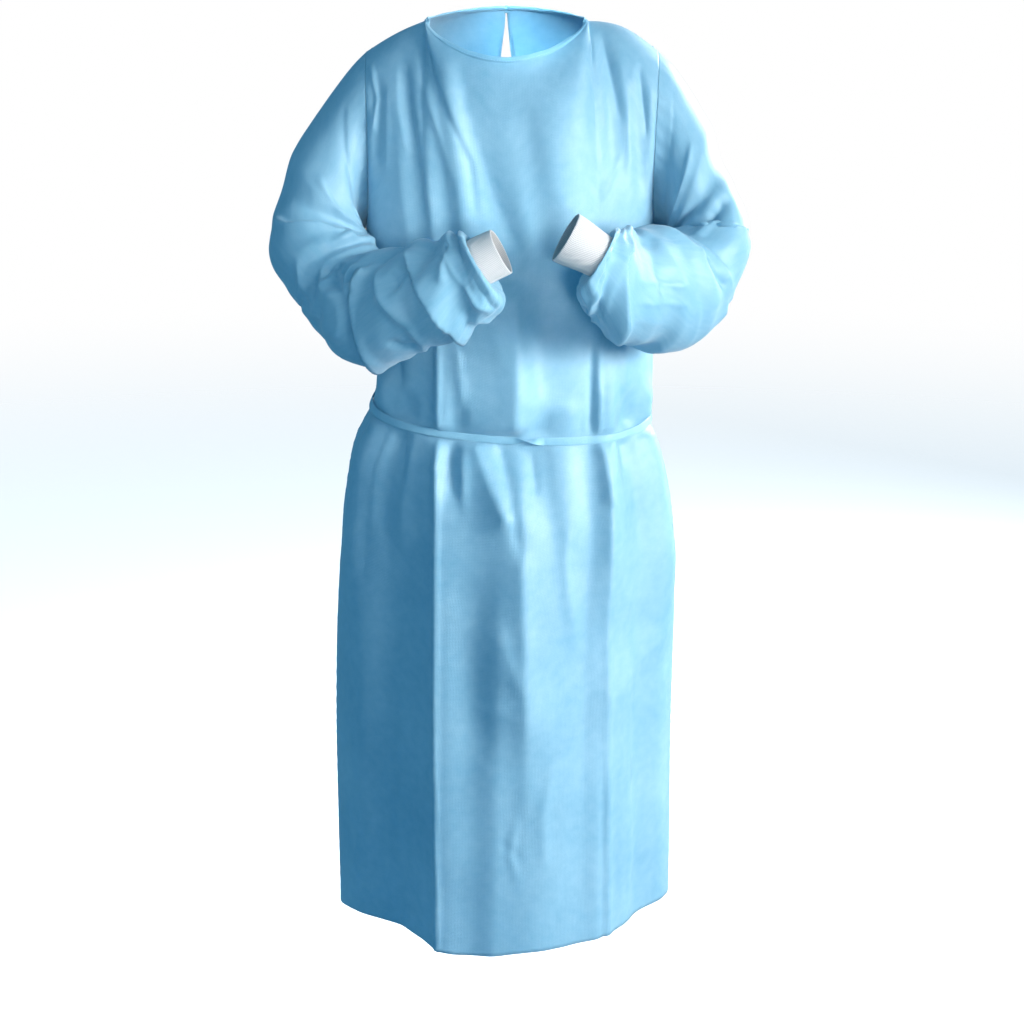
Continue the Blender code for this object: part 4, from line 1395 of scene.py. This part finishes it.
LEFT_SLEEVE = SleeveForm(
    side=Side.LEFT,
    rings=(
        (1910, -40, -2520, 2090, 80, -640, 640, 640), (1950, -120, -2530, 2370, 80, -1040, 690, 680),
        (1980, -220, -2530, 2600, 60, -1470, 730, 700), (1990, -340, -2520, 2710, 20, -1950, 760, 700),
        (1970, -480, -2500, 2720, -60, -2400, 780, 600), (1940, -620, -2480, 2660, -180, -2840, 790, 510),
        (1900, -760, -2455, 2620, -360, -3220, 780, 460), (1820, -900, -2420, 2380, -600, -3560, 760, 480),
        (1760, -1060, -2370, 2080, -900, -3780, 730, 460), (1680, -1260, -2330, 1800, -1200, -3870, 700, 470),
        (1580, -1500, -2300, 1520, -1500, -3740, 670, 500), (1480, -1760, -2270, 1260, -1820, -3560, 630, 530),
        (1380, -2020, -2230, 1040, -2100, -3340, 570, 500), (1300, -2240, -2190, 870, -2320, -3100, 500, 450),
        (1235, -2400, -2190, 810, -2440, -2880, 390, 360), (1196, -2500, -2255, 934, -2500, -2705, 260, 260),
    ),
    bunches=table(
        Bunch,
        BUNCH_UNITS,
        (220, 50, 3, -60), (330, 50, 3, 30), (440, 45, 4, -30), (580, 60, 3, 60), (720, 45, 3, -80),
        (820, 45, 2, 60), (900, 30, 2, -50),
    ),
    lips=Fold.rows(
        DOWN_AND_ROUND,
        ((470, -10, 500, 30, 490, 66), 60, 6, 30, 0.3),
        ((790, 0, 800, 53, 842, 89, 877, 116, 830, 160), 70, 7, 30, 0.2),
        ((640, -140, 660, -90, 650, -50), 70, 6, 30, 0.3), ((400, -110, 430, -70, 420, -25), 60, 6, 30, 0.3),
    ),
    folds=Fold.rows(
        DOWN_AND_ROUND,
        ((400, 158, 350, 138, 298, 116, 266, 74), -80, 14, 18, 0.25), ((430, 150, 350, 120, 330, 90), 34, 10, 10),
        ((530, 130, 552, 116, 543, 100, 497, 80), -65, 14, 12, 0.25), ((540, 138, 590, 118), 34, 14, 18, 0.3),
        ((720, 165, 745, 120, 730, 80), -30, 14, 14), ((812, 100, 740, 104, 668, 100), 18, 6, 6),
        ((800, 80, 730, 84, 660, 82), 16, 6, 6), ((976, -30, 920, 10, 851, 10), -42, 10, 12),
        ((935, 160, 925, 110, 930, 60), -34, 8, 10), ((900, 70, 920, 40, 900, 5), 34, 9, 10),
        ((870, 40, 880, 0, 860, -40), 34, 10, 10), ((45, 30, 55, 65, 50, 100), -40, 7, 12),
        ((45, 112, 37, 143, 23, 168), -45, 7, 12), ((120, 60, 140, 100, 150, 140), 26, 8, 14),
        ((600, 20, 620, 60, 640, 90), 30, 12, 18), ((470, 10, 440, 50), 30, 12, 14, 0.3),
        ((300, -70, 340, -30, 330, 20), 32, 10, 18), ((480, -80, 520, -40, 500, -5), 34, 10, 18),
        ((640, -90, 660, -50, 650, -15), 34, 10, 18), ((50, -120, 70, -80, 60, -40), -34, 8, 12),
        ((180, -120, 220, -80, 210, -40), 30, 10, 16), ((780, -150, 800, -100, 790, -60), 36, 8, 18),
    ),
    mouth=(0.0670, -0.2520, -0.2250),
    mouth_radius=0.0300,
)


@dataclass
class Sleeve:
    """A sleeve and its knit cuff."""

    form: SleeveForm
    front: Array
    back: Array
    first_row: int
    wall: float = 0.0004
    cloth: NonwovenFinish = NonwovenFinish()
    knit: KnitFinish = KnitFinish()
    rings_between: int = 13
    armhole_breadth: tuple[float, float] = (0.056, 0.058)
    armhole_blend: float = 2.5
    cuff_turn: tuple[float, float] = (6.0, 3.0)
    armhole_seam: float = 0.0003
    length: float = 0.52
    girth_radius: float = 0.072
    cuff_tuck: float = 0.004
    cuff_clearance: float = 0.0007
    cuff_gathers: int = 14
    gather_height: float = 0.0017
    gather_reach: float = 0.030
    clear_of_cuff: float = 0.014
    knit_wall: float = 0.0008
    lip_height: float = 0.0011
    cuff_hem: float = 0.016
    cuff_columns: int = 144
    ribs: int = 66
    rib_height: float = 0.00022
    lip_drop: float = 0.5
    crook: tuple[float, float] = (155, 175)
    rounding: float = 0.0008
    turned_in: tuple[float, ...] = (0.0095, 0.0060, 0.0030, 0.0010)
    crumples: tuple[Crumple, ...] = (Crumple(0.050, 0.0050, 5, 1.7, 0.1), Crumple(0.022, 0.0016, 9, 1.5, 0.9))

    @property
    def sign(self) -> int:
        """Sign of the side's X."""
        return self.form.side.value

    def armhole(self) -> Array:
        """Armhole edge: from the underarm up its front to the shoulder tip and down its back.

        Returns:
            The points, once round.
        """
        front_edge = self.front[self.first_row :, 0 if self.sign < 0 else -1]
        back_edge = self.back[self.first_row :, -1 if self.sign < 0 else 0]
        loop = np.concatenate([front_edge, back_edge[-2:0:-1]])
        loop[0] = (front_edge[0] + back_edge[0]) / 2
        loop[len(front_edge) - 1] = (front_edge[-1] + back_edge[-1]) / 2
        return loop

    def turns(self, loop: Array) -> Array:
        """Turn of each armhole point: half a turn at the underarm, 0 at the tip, minus down the back.

        Args:
            loop: The armhole.

        Returns:
            The turns, in radians.
        """
        closed = np.concatenate([loop, loop[:1]])
        length = running_length(closed[None], 1)[0]
        tip = len(self.front) - self.first_row - 1
        up_front = length[: tip + 1] / length[tip]
        down_back = 1 + (length[tip + 1 : -1] - length[tip]) / (length[-1] - length[tip])
        return np.pi * (1 - np.concatenate([up_front, down_back]))

    def sections(self, loop: Array) -> tuple[Array, Array, Array, Array]:
        """Loft rings from the armhole to the cuff.

        Args:
            loop: The armhole.

        Returns:
            Their inner ends, outer ends, breadths and places in the table.
        """
        tip = len(self.front) - self.first_row - 1
        rings = np.array(self.form.rings) / 10000
        inner, outer = np.vstack([loop[0], rings[:, :3]]), np.vstack([loop[tip], rings[:, 3:6]])
        breadths = np.vstack([self.armhole_breadth, rings[:, 6:]])
        keys = np.arange(len(inner))
        at = np.linspace(0, keys[-1], keys[-1] * self.rings_between + 1)
        return (*(curve_through(keys, values, at) for values in (inner, outer, breadths)), at)

    def ring_points(self, centre: Array, outwards: Array, away: Array, breadths: Array, turns: Array) -> Array:
        """Points of one sleeve section; turn 0 is its outer end and a rising turn goes over its front."""
        breadth = np.where(np.sin(turns) > 0, breadths[0], breadths[1])
        return centre + outwards * np.cos(turns)[:, None] + away * (breadth * np.sin(turns))[:, None]

    def bunched(self, shares: Array, turns: Array) -> tuple[Array, Array]:
        """Depth of bunches, folds and crumples.

        Args:
            shares: Share of the way down the sleeve of each ring.
            turns: Turn of each column.

        Returns:
            The depth at each point, and the lips' own part of it.
        """
        down, around = shares[:, None], turns[None, :]
        depth = np.zeros(np.broadcast(down, around).shape)
        for bunch in self.form.bunches:
            middle = bunch.share - bunch.slant * np.cos(around)
            depth = depth + bunch.depth * swell(down - middle, bunch.half_share)
        depth = depth * (0.35 + 0.65 * smooth_step(np.sin(around), -0.6, 0.4))
        scale = (self.length, self.girth_radius * math.pi / 180)
        degrees = np.degrees(around)
        places = np.stack(np.broadcast_arrays(down * scale[0], degrees * scale[1]), -1)
        lips = sum(fold.height(places, scale) for fold in self.form.lips)
        depth = depth + lips + sum(fold.height(places, scale) for fold in self.form.folds)
        strength = (0.35 + 0.65 * smooth_step(down, 0.12, 0.45)) * (0.6 + 0.8 * drift(places, 0.08, 7))
        small = sum(crumple.height(places) for crumple in self.crumples)
        clear_of_crook = 1 - smooth_step(np.abs(degrees), *self.crook)
        depth = depth + small * strength * clear_of_crook
        clear_of_ends = smooth_step(down, 0.03, 0.12) * (1 - smooth_step(down, 0.955, 0.99))
        return depth * clear_of_ends, lips * clear_of_ends

    def grid(self) -> Array:
        """The sleeve's grid, rows from the armhole to the cuff.

        Returns:
            The points, a closed ring in each row.
        """
        loop = self.armhole()
        turns = self.turns(loop)
        inner, outer, breadths, at = self.sections(loop)
        centres = (inner + outer) / 2
        travel = unit(np.gradient(centres, axis=0))
        to_mouth = unit(np.array(self.form.mouth) - centres[-1])
        near_cuff = smooth_step(at, at[-1] - self.cuff_turn[0], at[-1] - self.cuff_turn[1])[:, None]
        travel = travel * (1 - near_cuff) + to_mouth * near_cuff
        rows = []
        for index, centre in enumerate(centres):
            outwards = (outer[index] - inner[index]) / 2
            away = self.sign * unit(np.cross(travel[index], outwards))
            ring = self.ring_points(centre, outwards, away, breadths[index], turns)
            hold = 1 - smooth_step(at[index] / self.armhole_blend, 0, 1)
            rows.append(ring * (1 - hold) + (loop - centres[0] + centre) * hold)
        grid = np.array(rows)
        shares = running_length(centres[None], 1)[0]
        shares = shares / shares[-1]
        depth, lips = self.bunched(shares, turns)
        step = grid[1] - loop
        grid[0] = loop + unit(step) * self.armhole_seam
        down = shares[:, None] * self.length
        along_seam = running_length(loop[None], 1)
        depth = depth + seam_pucker(along_seam, down, 3, 0.0011) * smooth_step(down, 0.0, 0.004)
        around = turns[None, :]
        from_cuff = (1 - shares)[:, None] * self.length
        pleats = np.sin(around * self.cuff_gathers + 0.8 * np.sin(around * 3))
        pleats = pleats * smooth_step(from_cuff, 0.001, self.clear_of_cuff) * np.exp(-from_cuff / self.gather_reach)
        depth = depth + self.gather_height * pleats
        depth = np.maximum(depth, -0.3 * np.maximum(from_cuff - self.clear_of_cuff, 0.0))
        if self.sign > 0:
            grid, depth, lips = grid[:, ::-1], depth[:, ::-1], lips[:, ::-1]
        moved = grid_normals(grid, round_closed=True) * depth[..., None]
        return grid + moved - travel[:, None] * (self.lip_drop * lips)[..., None]

    def with_turned_ends(self, grid: Array) -> Array:
        """Add the seam edges that stand inwards at the armhole and at the cuff.

        Args:
            grid: The sleeve.

        Returns:
            The longer grid.
        """
        normals = grid_normals(grid, round_closed=True)
        top = [grid[0] - normals[0] * depth for depth in self.turned_in]
        end_way = unit(grid[-1] - grid[-2])
        rounded = grid[-1] + end_way * self.rounding - normals[-1] * self.rounding
        centre = grid[-1].mean(0)
        inside = rounded + (centre - rounded) * 0.02 - end_way * 0.004
        return np.concatenate([np.array(top), grid, [rounded, inside]])

    def build(self, wardrobe: Wardrobe) -> None:
        """Make the sleeve and its cuff.

        Args:
            wardrobe: The finishes.
        """
        hand = self.form.side.hand
        cloth = Cloth.tube(self.with_turned_ends(self.grid()))
        piece = wardrobe.hang(cloth, f"sleeve_cloth_{hand}", self.cloth, f"sleeve_{hand}", self.wall)
        self.build_cuff(wardrobe)

    def cuff_grid(self) -> Array:
        """Grid of the cuff: from inside the sleeve's end to its mouth, over its rounded edge and back inside.

        Returns:
            The points, a closed ring in each row.
        """
        inner, outer, _, _ = self.sections(self.armhole())
        mouth = np.array(self.form.mouth)
        joint = (inner[-1] + outer[-1]) / 2
        axis = mouth - joint
        length = float(np.linalg.norm(axis))
        axis = axis / length
        outwards = outer[-1] - inner[-1]
        radius = float(np.linalg.norm(outwards)) / 2 - self.cuff_clearance
        outwards = unit(outwards - axis * (outwards @ axis))
        away = self.sign * np.cross(axis, outwards)
        turns = np.linspace(np.pi, -np.pi, self.cuff_columns, endpoint=False)
        lip, hem = self.lip_height, self.cuff_hem
        outside = [(along, 0.0) for along in np.linspace(-self.cuff_tuck, length - lip, 30)]
        bend = [(length - lip + lip * math.sin(turn), lip * (1 - math.cos(turn))) for turn in np.linspace(0.4, 2.8, 6)]
        inside = [(length - lip - hem * step, 2 * lip - 0.0002) for step in np.linspace(0.05, 1.0, 8)]
        rows = []
        for along, inset in outside + bend + inside:
            wide = radius + (self.form.mouth_radius - radius) * smooth_step(along, 0.0, length)
            wave = 0.0007 * np.sin(turns * 3 + 1.0) * smooth_step(along, 0.3 * length, length)
            wide = wide - inset + wave - 0.0011 * smooth_step(along, 0.004, 0.0) * 0.5
            ribs = self.rib_height * np.cos(turns * self.ribs) * smooth_step(along, length, length - 0.006)
            reach = (wide + ribs)[:, None]
            spokes = outwards * np.cos(turns)[:, None] + away * np.sin(turns)[:, None]
            rows.append(joint + axis * along + spokes * reach)
        grid = np.array(rows)
        return grid[:, ::-1] if self.sign > 0 else grid

    def build_cuff(self, wardrobe: Wardrobe) -> None:
        """Make the cuff.

        Args:
            wardrobe: The finishes.
        """
        hand = self.form.side.hand
        cloth = Cloth.tube(self.cuff_grid())
        piece = wardrobe.hang(cloth, f"cuff_knit_{hand}", self.knit, f"cuff_{hand}", self.knit_wall)


# --- Bindings, belt and ties ----------------------------------------------------------------------------


@dataclass
class NeckTape:
    """The folded strip that binds the neck, with its row of stitches."""

    form: BodyForm
    front: Array
    backs: dict[int, Array]
    width: float = 0.0064
    thick: float = 0.0022
    seam: float = 0.0002
    cloth: NonwovenFinish = NonwovenFinish(
        name="nonwoven_tape", slot=Slot.TRIM, deep=(0.210, 0.480, 0.660), pale=(0.340, 0.610, 0.770), light_through=0.08
    )
    thread: ThreadFinish = ThreadFinish()
    stitch_pitch: float = 0.0034
    samples: int = 420

    def edge(self) -> tuple[Array, Array]:
        """Points of the neck edge and their normals, from the right back edge round the front.

        Returns:
            The points, and the normals there.
        """
        first = round(self.form.half_columns * self.form.shoulder_share)
        count = self.form.half_columns
        stretches = (
            (self.backs[-1], slice(0, count + 1 - first)),
            (self.front, slice(first, 2 * count + 1 - first)),
            (self.backs[1], slice(first, None)),
        )
        points = [grid[-1, span] for grid, span in stretches]
        normals = [grid_normals(grid)[-1, span] for grid, span in stretches]
        for values in (points, normals):
            values[0][-1] = (values[0][-1] + values[1][0]) / 2
            values[2][0] = (values[1][-1] + values[2][0]) / 2
            values[1] = values[1][1:-1]
        return np.concatenate(points), unit(np.concatenate(normals))

    def build(self, wardrobe: Wardrobe) -> None:
        """Make the tape and its stitches.

        Args:
            wardrobe: The finishes.
        """
        points, normals = self.edge()
        length = running_length(points[None], 1)[0]
        keys = np.linspace(0, length[-1], self.samples)
        path = read_along(keys, length, points)
        normal = unit(evened(unit(read_along(keys, length, normals)), 9))
        inwards = unit(np.cross(normal, np.gradient(path, axis=0)))
        wave = 0.00025 * np.sin(keys / 0.0092) + 0.0002 * np.sin(keys / 0.0041)
        middle = path + inwards * (self.seam + self.width / 2 - 0.0010 + wave)[:, None] - normal * 0.0004
        band = swept_band(
            middle, inwards, normal, np.full(len(keys), self.width), self.thick * (1 + 0.15 * np.sin(keys / 0.0057)), 20
        )
        whole = cap_ends(band[:, ::-1])
        cloth = Cloth(whole, flat_chart(whole, round_closed=True)[..., ::-1], round_closed=True)
        piece = wardrobe.hang(cloth, "neck_tape", self.cloth, "neck_binding")
        base = middle - inwards * (self.width * 0.26) + normal * (self.thick * 0.5)
        stitches = Stitches(base, unit(np.gradient(base, axis=0)), normal, self.stitch_pitch)
        stitches.build("neck_stitches", wardrobe.material(self.thread), self.thread.slot)


@dataclass
class Stitches:
    """A row of lockstitches: short threads that dip into the cloth at both ends."""

    path: Array
    along: Array
    normal: Array
    pitch: float
    thread: float = 0.00034
    sides: int = 6
    rings: int = 5

    def build(self, name: str, material: bpy.types.Material, slot: Slot) -> None:
        """Make the row.

        Args:
            name: Its name.
            material: Its finish.
            slot: Its material slot.
        """
        length = running_length(self.path[None], 1)[0]
        places = np.arange(self.pitch, length[-1] - self.pitch, self.pitch)
        points, faces = [], []
        sides, last = self.sides, (self.rings - 1) * self.sides
        turns = np.linspace(0, 2 * math.pi, sides, endpoint=False)
        steps = np.linspace(-0.5, 0.5, self.rings)
        beside = [(side, (side + 1) % sides) for side in range(sides)]
        for place in places:
            middle, along, normal = (read_along(place, length, line) for line in (self.path, self.along, self.normal))
            across = np.cross(normal, along)
            start = len(points) * sides
            for step in steps:
                lift = self.thread * (0.55 - 5.0 * step**2)
                centre = middle + along * step * self.pitch * 0.86 + normal * lift
                radius = self.thread * (1.0 if abs(step) < 0.45 else 0.7)
                ring = centre + (across * np.cos(turns)[:, None] + normal * np.sin(turns)[:, None]) * radius
                points.append(ring)
            for base in range(start, start + last, sides):
                faces += [(base + i, base + j, base + sides + j, base + sides + i) for i, j in beside]
            faces.append(tuple(range(start + sides - 1, start - 1, -1)))
            faces.append(tuple(range(start + last, start + last + sides)))
        dress(smooth_piece(name, np.concatenate(points), faces, material), slot)


@dataclass
class Belt:
    """The waist tape, folded lengthways, with a twist in front."""

    form: BodyForm
    panels: Panels
    cloth: NonwovenFinish
    width: float = 0.0098
    thick: float = 0.0017
    clearance: float = 0.0005
    twist_from: float = 0.004
    twist_to: float = 0.050
    twist_squeeze: float = 0.30
    samples: int = 620

    def build(self, wardrobe: Wardrobe) -> None:
        """Make the belt round the waist.

        Args:
            wardrobe: The finishes.
        """
        angles = np.linspace(-np.pi, np.pi, self.samples, endpoint=False)
        levels = np.full_like(angles, self.form.belt_level)
        middle = self.form.section_point(angles, levels)
        upper = self.form.section_point(angles, levels + 0.005)
        wide = unit(upper - middle)
        around = unit(np.roll(middle, -1, axis=0) - np.roll(middle, 1, axis=0))
        normal = unit(np.cross(around, wide))
        folds = self.form.creases_at(middle, self.panels.front_creases) * smooth_step(-middle[:, 1], 0.0, 0.02)
        folds = folds + self.form.creases_at(middle, self.panels.back_creases) * smooth_step(middle[:, 1], 0.0, 0.02)
        lap = self.panels.overlap_lift * swell(angles / np.pi + np.where(angles < 0, 1.0, -1.0), 0.16)
        rest = self.clearance + self.thick / 2 + np.maximum(folds, 0.0) + lap
        length = running_length(middle[None], 1)[0]
        share = smooth_step(middle[:, 0], self.twist_from, self.twist_to) * (middle[:, 1] < 0)
        twist = np.pi * share
        open_turn = twist + 0.10 * np.sin(length / 0.061) + 0.05 * np.sin(length / 0.023)
        cos, sin = np.cos(open_turn)[:, None], np.sin(open_turn)[:, None]
        wide_turned = wide * cos + normal * sin
        normal_turned = normal * cos - wide * sin
        width = self.width * (1 - self.twist_squeeze * np.abs(np.sin(twist))) * (1 + 0.05 * np.sin(length / 0.037))
        stand = rest + width / 2 * np.abs(np.sin(open_turn)) * 0.92
        path = middle + normal * stand[:, None] + wide * (0.0008 * np.sin(length / 0.052))[:, None]
        band = swept_band(path, wide_turned, normal_turned, width, np.full(self.samples, self.thick), 20)
        ring = np.transpose(band, (1, 0, 2))
        closed = np.concatenate([ring, ring[:1]], axis=0)
        piece = wardrobe.hang(Cloth.tube(closed), "belt_tape", self.cloth, "belt")
        merge_close(piece)


def merge_close(piece: bpy.types.Object) -> None:
    """Weld the points that lie on each other."""
    weld = piece.modifiers.new("Join", "WELD")
    weld.merge_threshold = 0.00001


@dataclass
class Ties:
    """The two knots behind the neck and the waist, and the tape ends that hang from them."""

    cloth: NonwovenFinish
    wrap_turns: int = 3
    tightness: float = 0.94
    knot_drop: float = 0.0030
    knot_rows: int = 34
    knot_columns: int = 60
    end_rows: int = 70
    end_width: float = 0.0100
    end_thick: float = 0.0013
    swing: float = 0.5

    def knot(self, wardrobe: Wardrobe, name: str, node: str) -> None:
        """Make a tight knot: a lump with the turns of its tape pressed into it.

        Args:
            wardrobe: The finishes.
            name: Its name.
            node: The solid that it replaces.
        """
        low, high = (np.array(corner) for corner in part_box(node))
        centre, half = (low + high) / 2, (high - low) / 2
        up = np.linspace(-math.pi / 2, math.pi / 2, self.knot_rows)[:, None]
        round_way = np.linspace(0, 2 * math.pi, self.knot_columns, endpoint=False)[None, :]
        x = np.cos(up) * np.cos(round_way)
        y = np.cos(up) * np.sin(round_way)
        z = np.sin(up) + 0 * round_way
        bands = np.abs(np.sin(self.wrap_turns * (0.9 * x + 0.35 * z) + 0.6))
        cross = np.abs(np.sin(2.2 * (z - 0.45 * x) + 0.3))
        relief = 0.86 + 0.12 * np.where(y > -0.2, bands**0.35, cross**0.35) + 0.02 * cross
        pinch = 1 - 0.10 * np.exp(-((z / 0.28) ** 2)) * np.abs(x)
        grid = centre + np.stack([x, y, z], -1) * (relief * pinch)[..., None] * half * self.tightness
        grid = grid - (0.0, 0.0, self.knot_drop)
        piece = wardrobe.hang(Cloth.tube(grid), name, self.cloth, node)
        merge_close(piece)

    def end(self, wardrobe: Wardrobe, node: str, seed: int) -> None:
        """Make a hanging tape end: a folded ribbon that curls a little.

        Args:
            wardrobe: The finishes.
            node: The solid that it replaces.
            seed: Which of many curls.
        """
        low, high = (np.array(corner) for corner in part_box(node))
        source = bpy.data.objects[node].data
        points = np.array([vertex.co for vertex in source.vertices])
        steps = np.linspace(0.0, 1.0, self.end_rows)
        heights = high[2] - (high[2] - low[2]) * steps
        near = [points[np.abs(points[:, 2] - height) < (high[2] - low[2]) * 0.09] for height in heights]
        middle = evened(np.array([group.mean(0) for group in near]), 11)
        middle[:, 2] = heights
        spread = np.median([group[:, 0].max() - group[:, 0].min() for group in near])
        width = np.full(len(steps), min(float(spread), self.end_width))
        turn = self.swing * np.sin(steps * 5.0 + seed) * smooth_step(steps, 0.05, 0.5)
        middle[:, 1] += 0.0015 + 0.0020 * np.sin(steps * 7.0 + seed) * steps
        wide = np.stack([np.cos(turn), np.sin(turn), 0 * turn], -1)
        along = unit(np.gradient(middle, axis=0))
        thick = unit(np.cross(along, wide))
        depth = np.full(len(steps), self.end_thick)
        band = cap_ends(swept_band(middle, wide, thick, width, depth, 16)[:, ::-1])
        name = node.replace("belt_end", "belt_tail").replace("neck_tie", "neck_tail")
        piece = wardrobe.hang(Cloth.tube(band), name, self.cloth, node)
        knot = f"{node.split('_')[0]}_knot_tape"

    def build(self, wardrobe: Wardrobe) -> None:
        """Make the knots and the four ends.

        Args:
            wardrobe: The finishes.
        """
        self.knot(wardrobe, "neck_knot_tape", "neck_knot")
        self.knot(wardrobe, "belt_knot_tape", "belt_knot")
        for seed, node in enumerate(("neck_tie_left", "neck_tie_right", "belt_end_left", "belt_end_right")):
            self.end(wardrobe, node, seed * 2 + 1)


# --- Studio ---------------------------------------------------------------------------------------------


class Lamp(NamedTuple):
    """A soft round lamp: its width, its watts, what it faces and how wide its light opens, in degrees."""

    name: str
    place: Point
    size: float
    power: float
    aim: Point
    colour: Point
    spread: float = 180.0


@dataclass
class Studio:
    """Pale floor, soft lights and the camera."""

    floor_height: float = -1.46
    floor_radius: float = 7.0
    camera_place: Point = (0.007, -2.70, 0.12)
    camera_pitch: float = 15.2
    focal_pixels: float = 2187.0
    frame_pixels: int = 1024
    sensor: float = 36.0
    lamps: tuple[Lamp, ...] = (
        Lamp("key", (2.80, -1.88, 0.20), 1.5, 18.5, (0.0, 0.0, -0.78), (1.0, 0.96, 0.90), 50.0),
        Lamp("fill", (-2.4, -2.2, 0.6), 2.2, 8.0, (0.0, 0.0, -0.5), (0.85, 0.94, 1.0)),
        Lamp("back", (2.0, 2.1, 0.5), 1.2, 130.0, (0.0, 0.0, -0.5), (0.94, 0.97, 1.0)),
        Lamp("neck", (0.0, -0.35, 0.22), 0.08, 0.14, (0.015, 0.06, -0.03), (0.55, 0.86, 1.0), 24.0),
        Lamp("arm", (1.2, -2.1, 0.35), 0.4, 0.16, (-0.14, -0.12, -0.30), (0.95, 1.0, 0.96), 15.0),
        Lamp("middle", (0.3, -2.6, -0.10), 0.4, 0.15, (0.02, -0.11, -0.24), (0.97, 1.0, 0.95), 10.0),
    )
    lit: tuple[float, ...] = (0.20, 0.64, 0.95, 1.0)
    lit_strength: float = 0.46

    def light(self, lamp: Lamp) -> None:
        """Add a lamp.

        Args:
            lamp: The lamp.
        """
        made = bpy.data.lights.new(lamp.name, "AREA")
        made.shape = "DISK"
        made.size, made.energy, made.color = lamp.size, lamp.power, lamp.colour
        made.spread = math.radians(lamp.spread)
        holder = bpy.data.objects.new(lamp.name, made)
        bpy.context.scene.collection.objects.link(holder)
        holder.location = lamp.place
        holder.visible_camera = False
        way = np.array(lamp.aim) - np.array(lamp.place)
        pitch = math.acos(-way[2] / float(np.linalg.norm(way)))
        holder.rotation_euler = (pitch, 0.0, math.atan2(way[1], way[0]) - math.pi / 2)

    def floor(self) -> None:
        """Add a pale floor that fades into the backdrop."""
        bpy.ops.mesh.primitive_circle_add(
            vertices=96, radius=self.floor_radius, fill_type="NGON", location=(0, 0, self.floor_height)
        )
        floor = bpy.context.object
        floor.name = "studio_floor"
        shading = Shading(bpy.data.materials.new("pale_floor"))
        place = shading.node("TexCoord").outputs["Object"]
        grain = shading.noise(place, 40.0, 3.0)
        shader = shading.node(
            "BsdfPrincipled",
            None,
            {
                "Base Color": shading.blend(grain, (0.90, 0.90, 0.90), (0.93, 0.93, 0.93)),
                "Roughness": 0.9,
                "Emission Color": (1.0, 1.0, 1.0, 1.0),
                "Emission Strength": 0.50,
            },
        )
        clear = shading.node("BsdfTransparent")
        away = shading.node("VectorMath", {"operation": "LENGTH"}, {0: place})
        fade = shading.eased(Value(shading, away.outputs["Value"]), 1.2, self.floor_radius * 0.95)
        floor.data.materials.append(shading.finish(shading.mixed(fade, shader, clear)))
        floor.visible_diffuse = False
        floor.visible_glossy = False

    def backdrop(self) -> None:
        """Light the room evenly, and show it white behind the gown."""
        world = bpy.data.worlds.new("studio_air")
        bpy.context.scene.world = world
        shading = Shading(world, "OutputWorld")
        lit = shading.node("Background", None, {0: self.lit, 1: self.lit_strength})
        seen = shading.node("Background", None, {0: (1.0, 1.0, 1.0, 1.0), 1: 1.0})
        to_camera = shading.node("LightPath").outputs["Is Camera Ray"]
        shading.finish(shading.mixed(to_camera, lit, seen))

    def camera(self) -> None:
        """Add the camera, a little above the gown and looking down."""
        lens = bpy.data.cameras.new("camera")
        lens.sensor_width = self.sensor
        lens.lens = self.focal_pixels / self.frame_pixels * self.sensor
        lens.clip_end = 60.0
        holder = bpy.data.objects.new("camera", lens)
        bpy.context.scene.collection.objects.link(holder)
        holder.location = self.camera_place
        holder.rotation_euler = (math.radians(90 - self.camera_pitch), 0.0, 0.0)
        bpy.context.scene.camera = holder

    def build(self) -> None:
        """Set up the studio."""
        self.camera()
        self.floor()
        self.backdrop()
        for lamp in self.lamps:
            self.light(lamp)
        bpy.context.scene.view_settings.view_transform = "Standard"


def main() -> None:
    """Dress the gown and set it in its studio."""
    logging.basicConfig(level=logging.INFO, format="%(message)s")
    Studio().build()
    wardrobe = Wardrobe()
    form = BodyForm()
    panels = Panels(form)
    front, backs = panels.build(wardrobe)
    for sleeve_form in (LEFT_SLEEVE, RIGHT_SLEEVE):
        back = backs[sleeve_form.side.value]
        Sleeve(sleeve_form, front, back, form.rows_below - 1).build(wardrobe)
    tape = NeckTape(form, front, backs)
    tape.build(wardrobe)
    Belt(form, panels, tape.cloth).build(wardrobe)
    Ties(tape.cloth).build(wardrobe)


if __name__ == "__main__":
    for old in list(bpy.data.objects):
        bpy.data.objects.remove(old, do_unlink=True)
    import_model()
    main()
    bpy.context.view_layer.update()
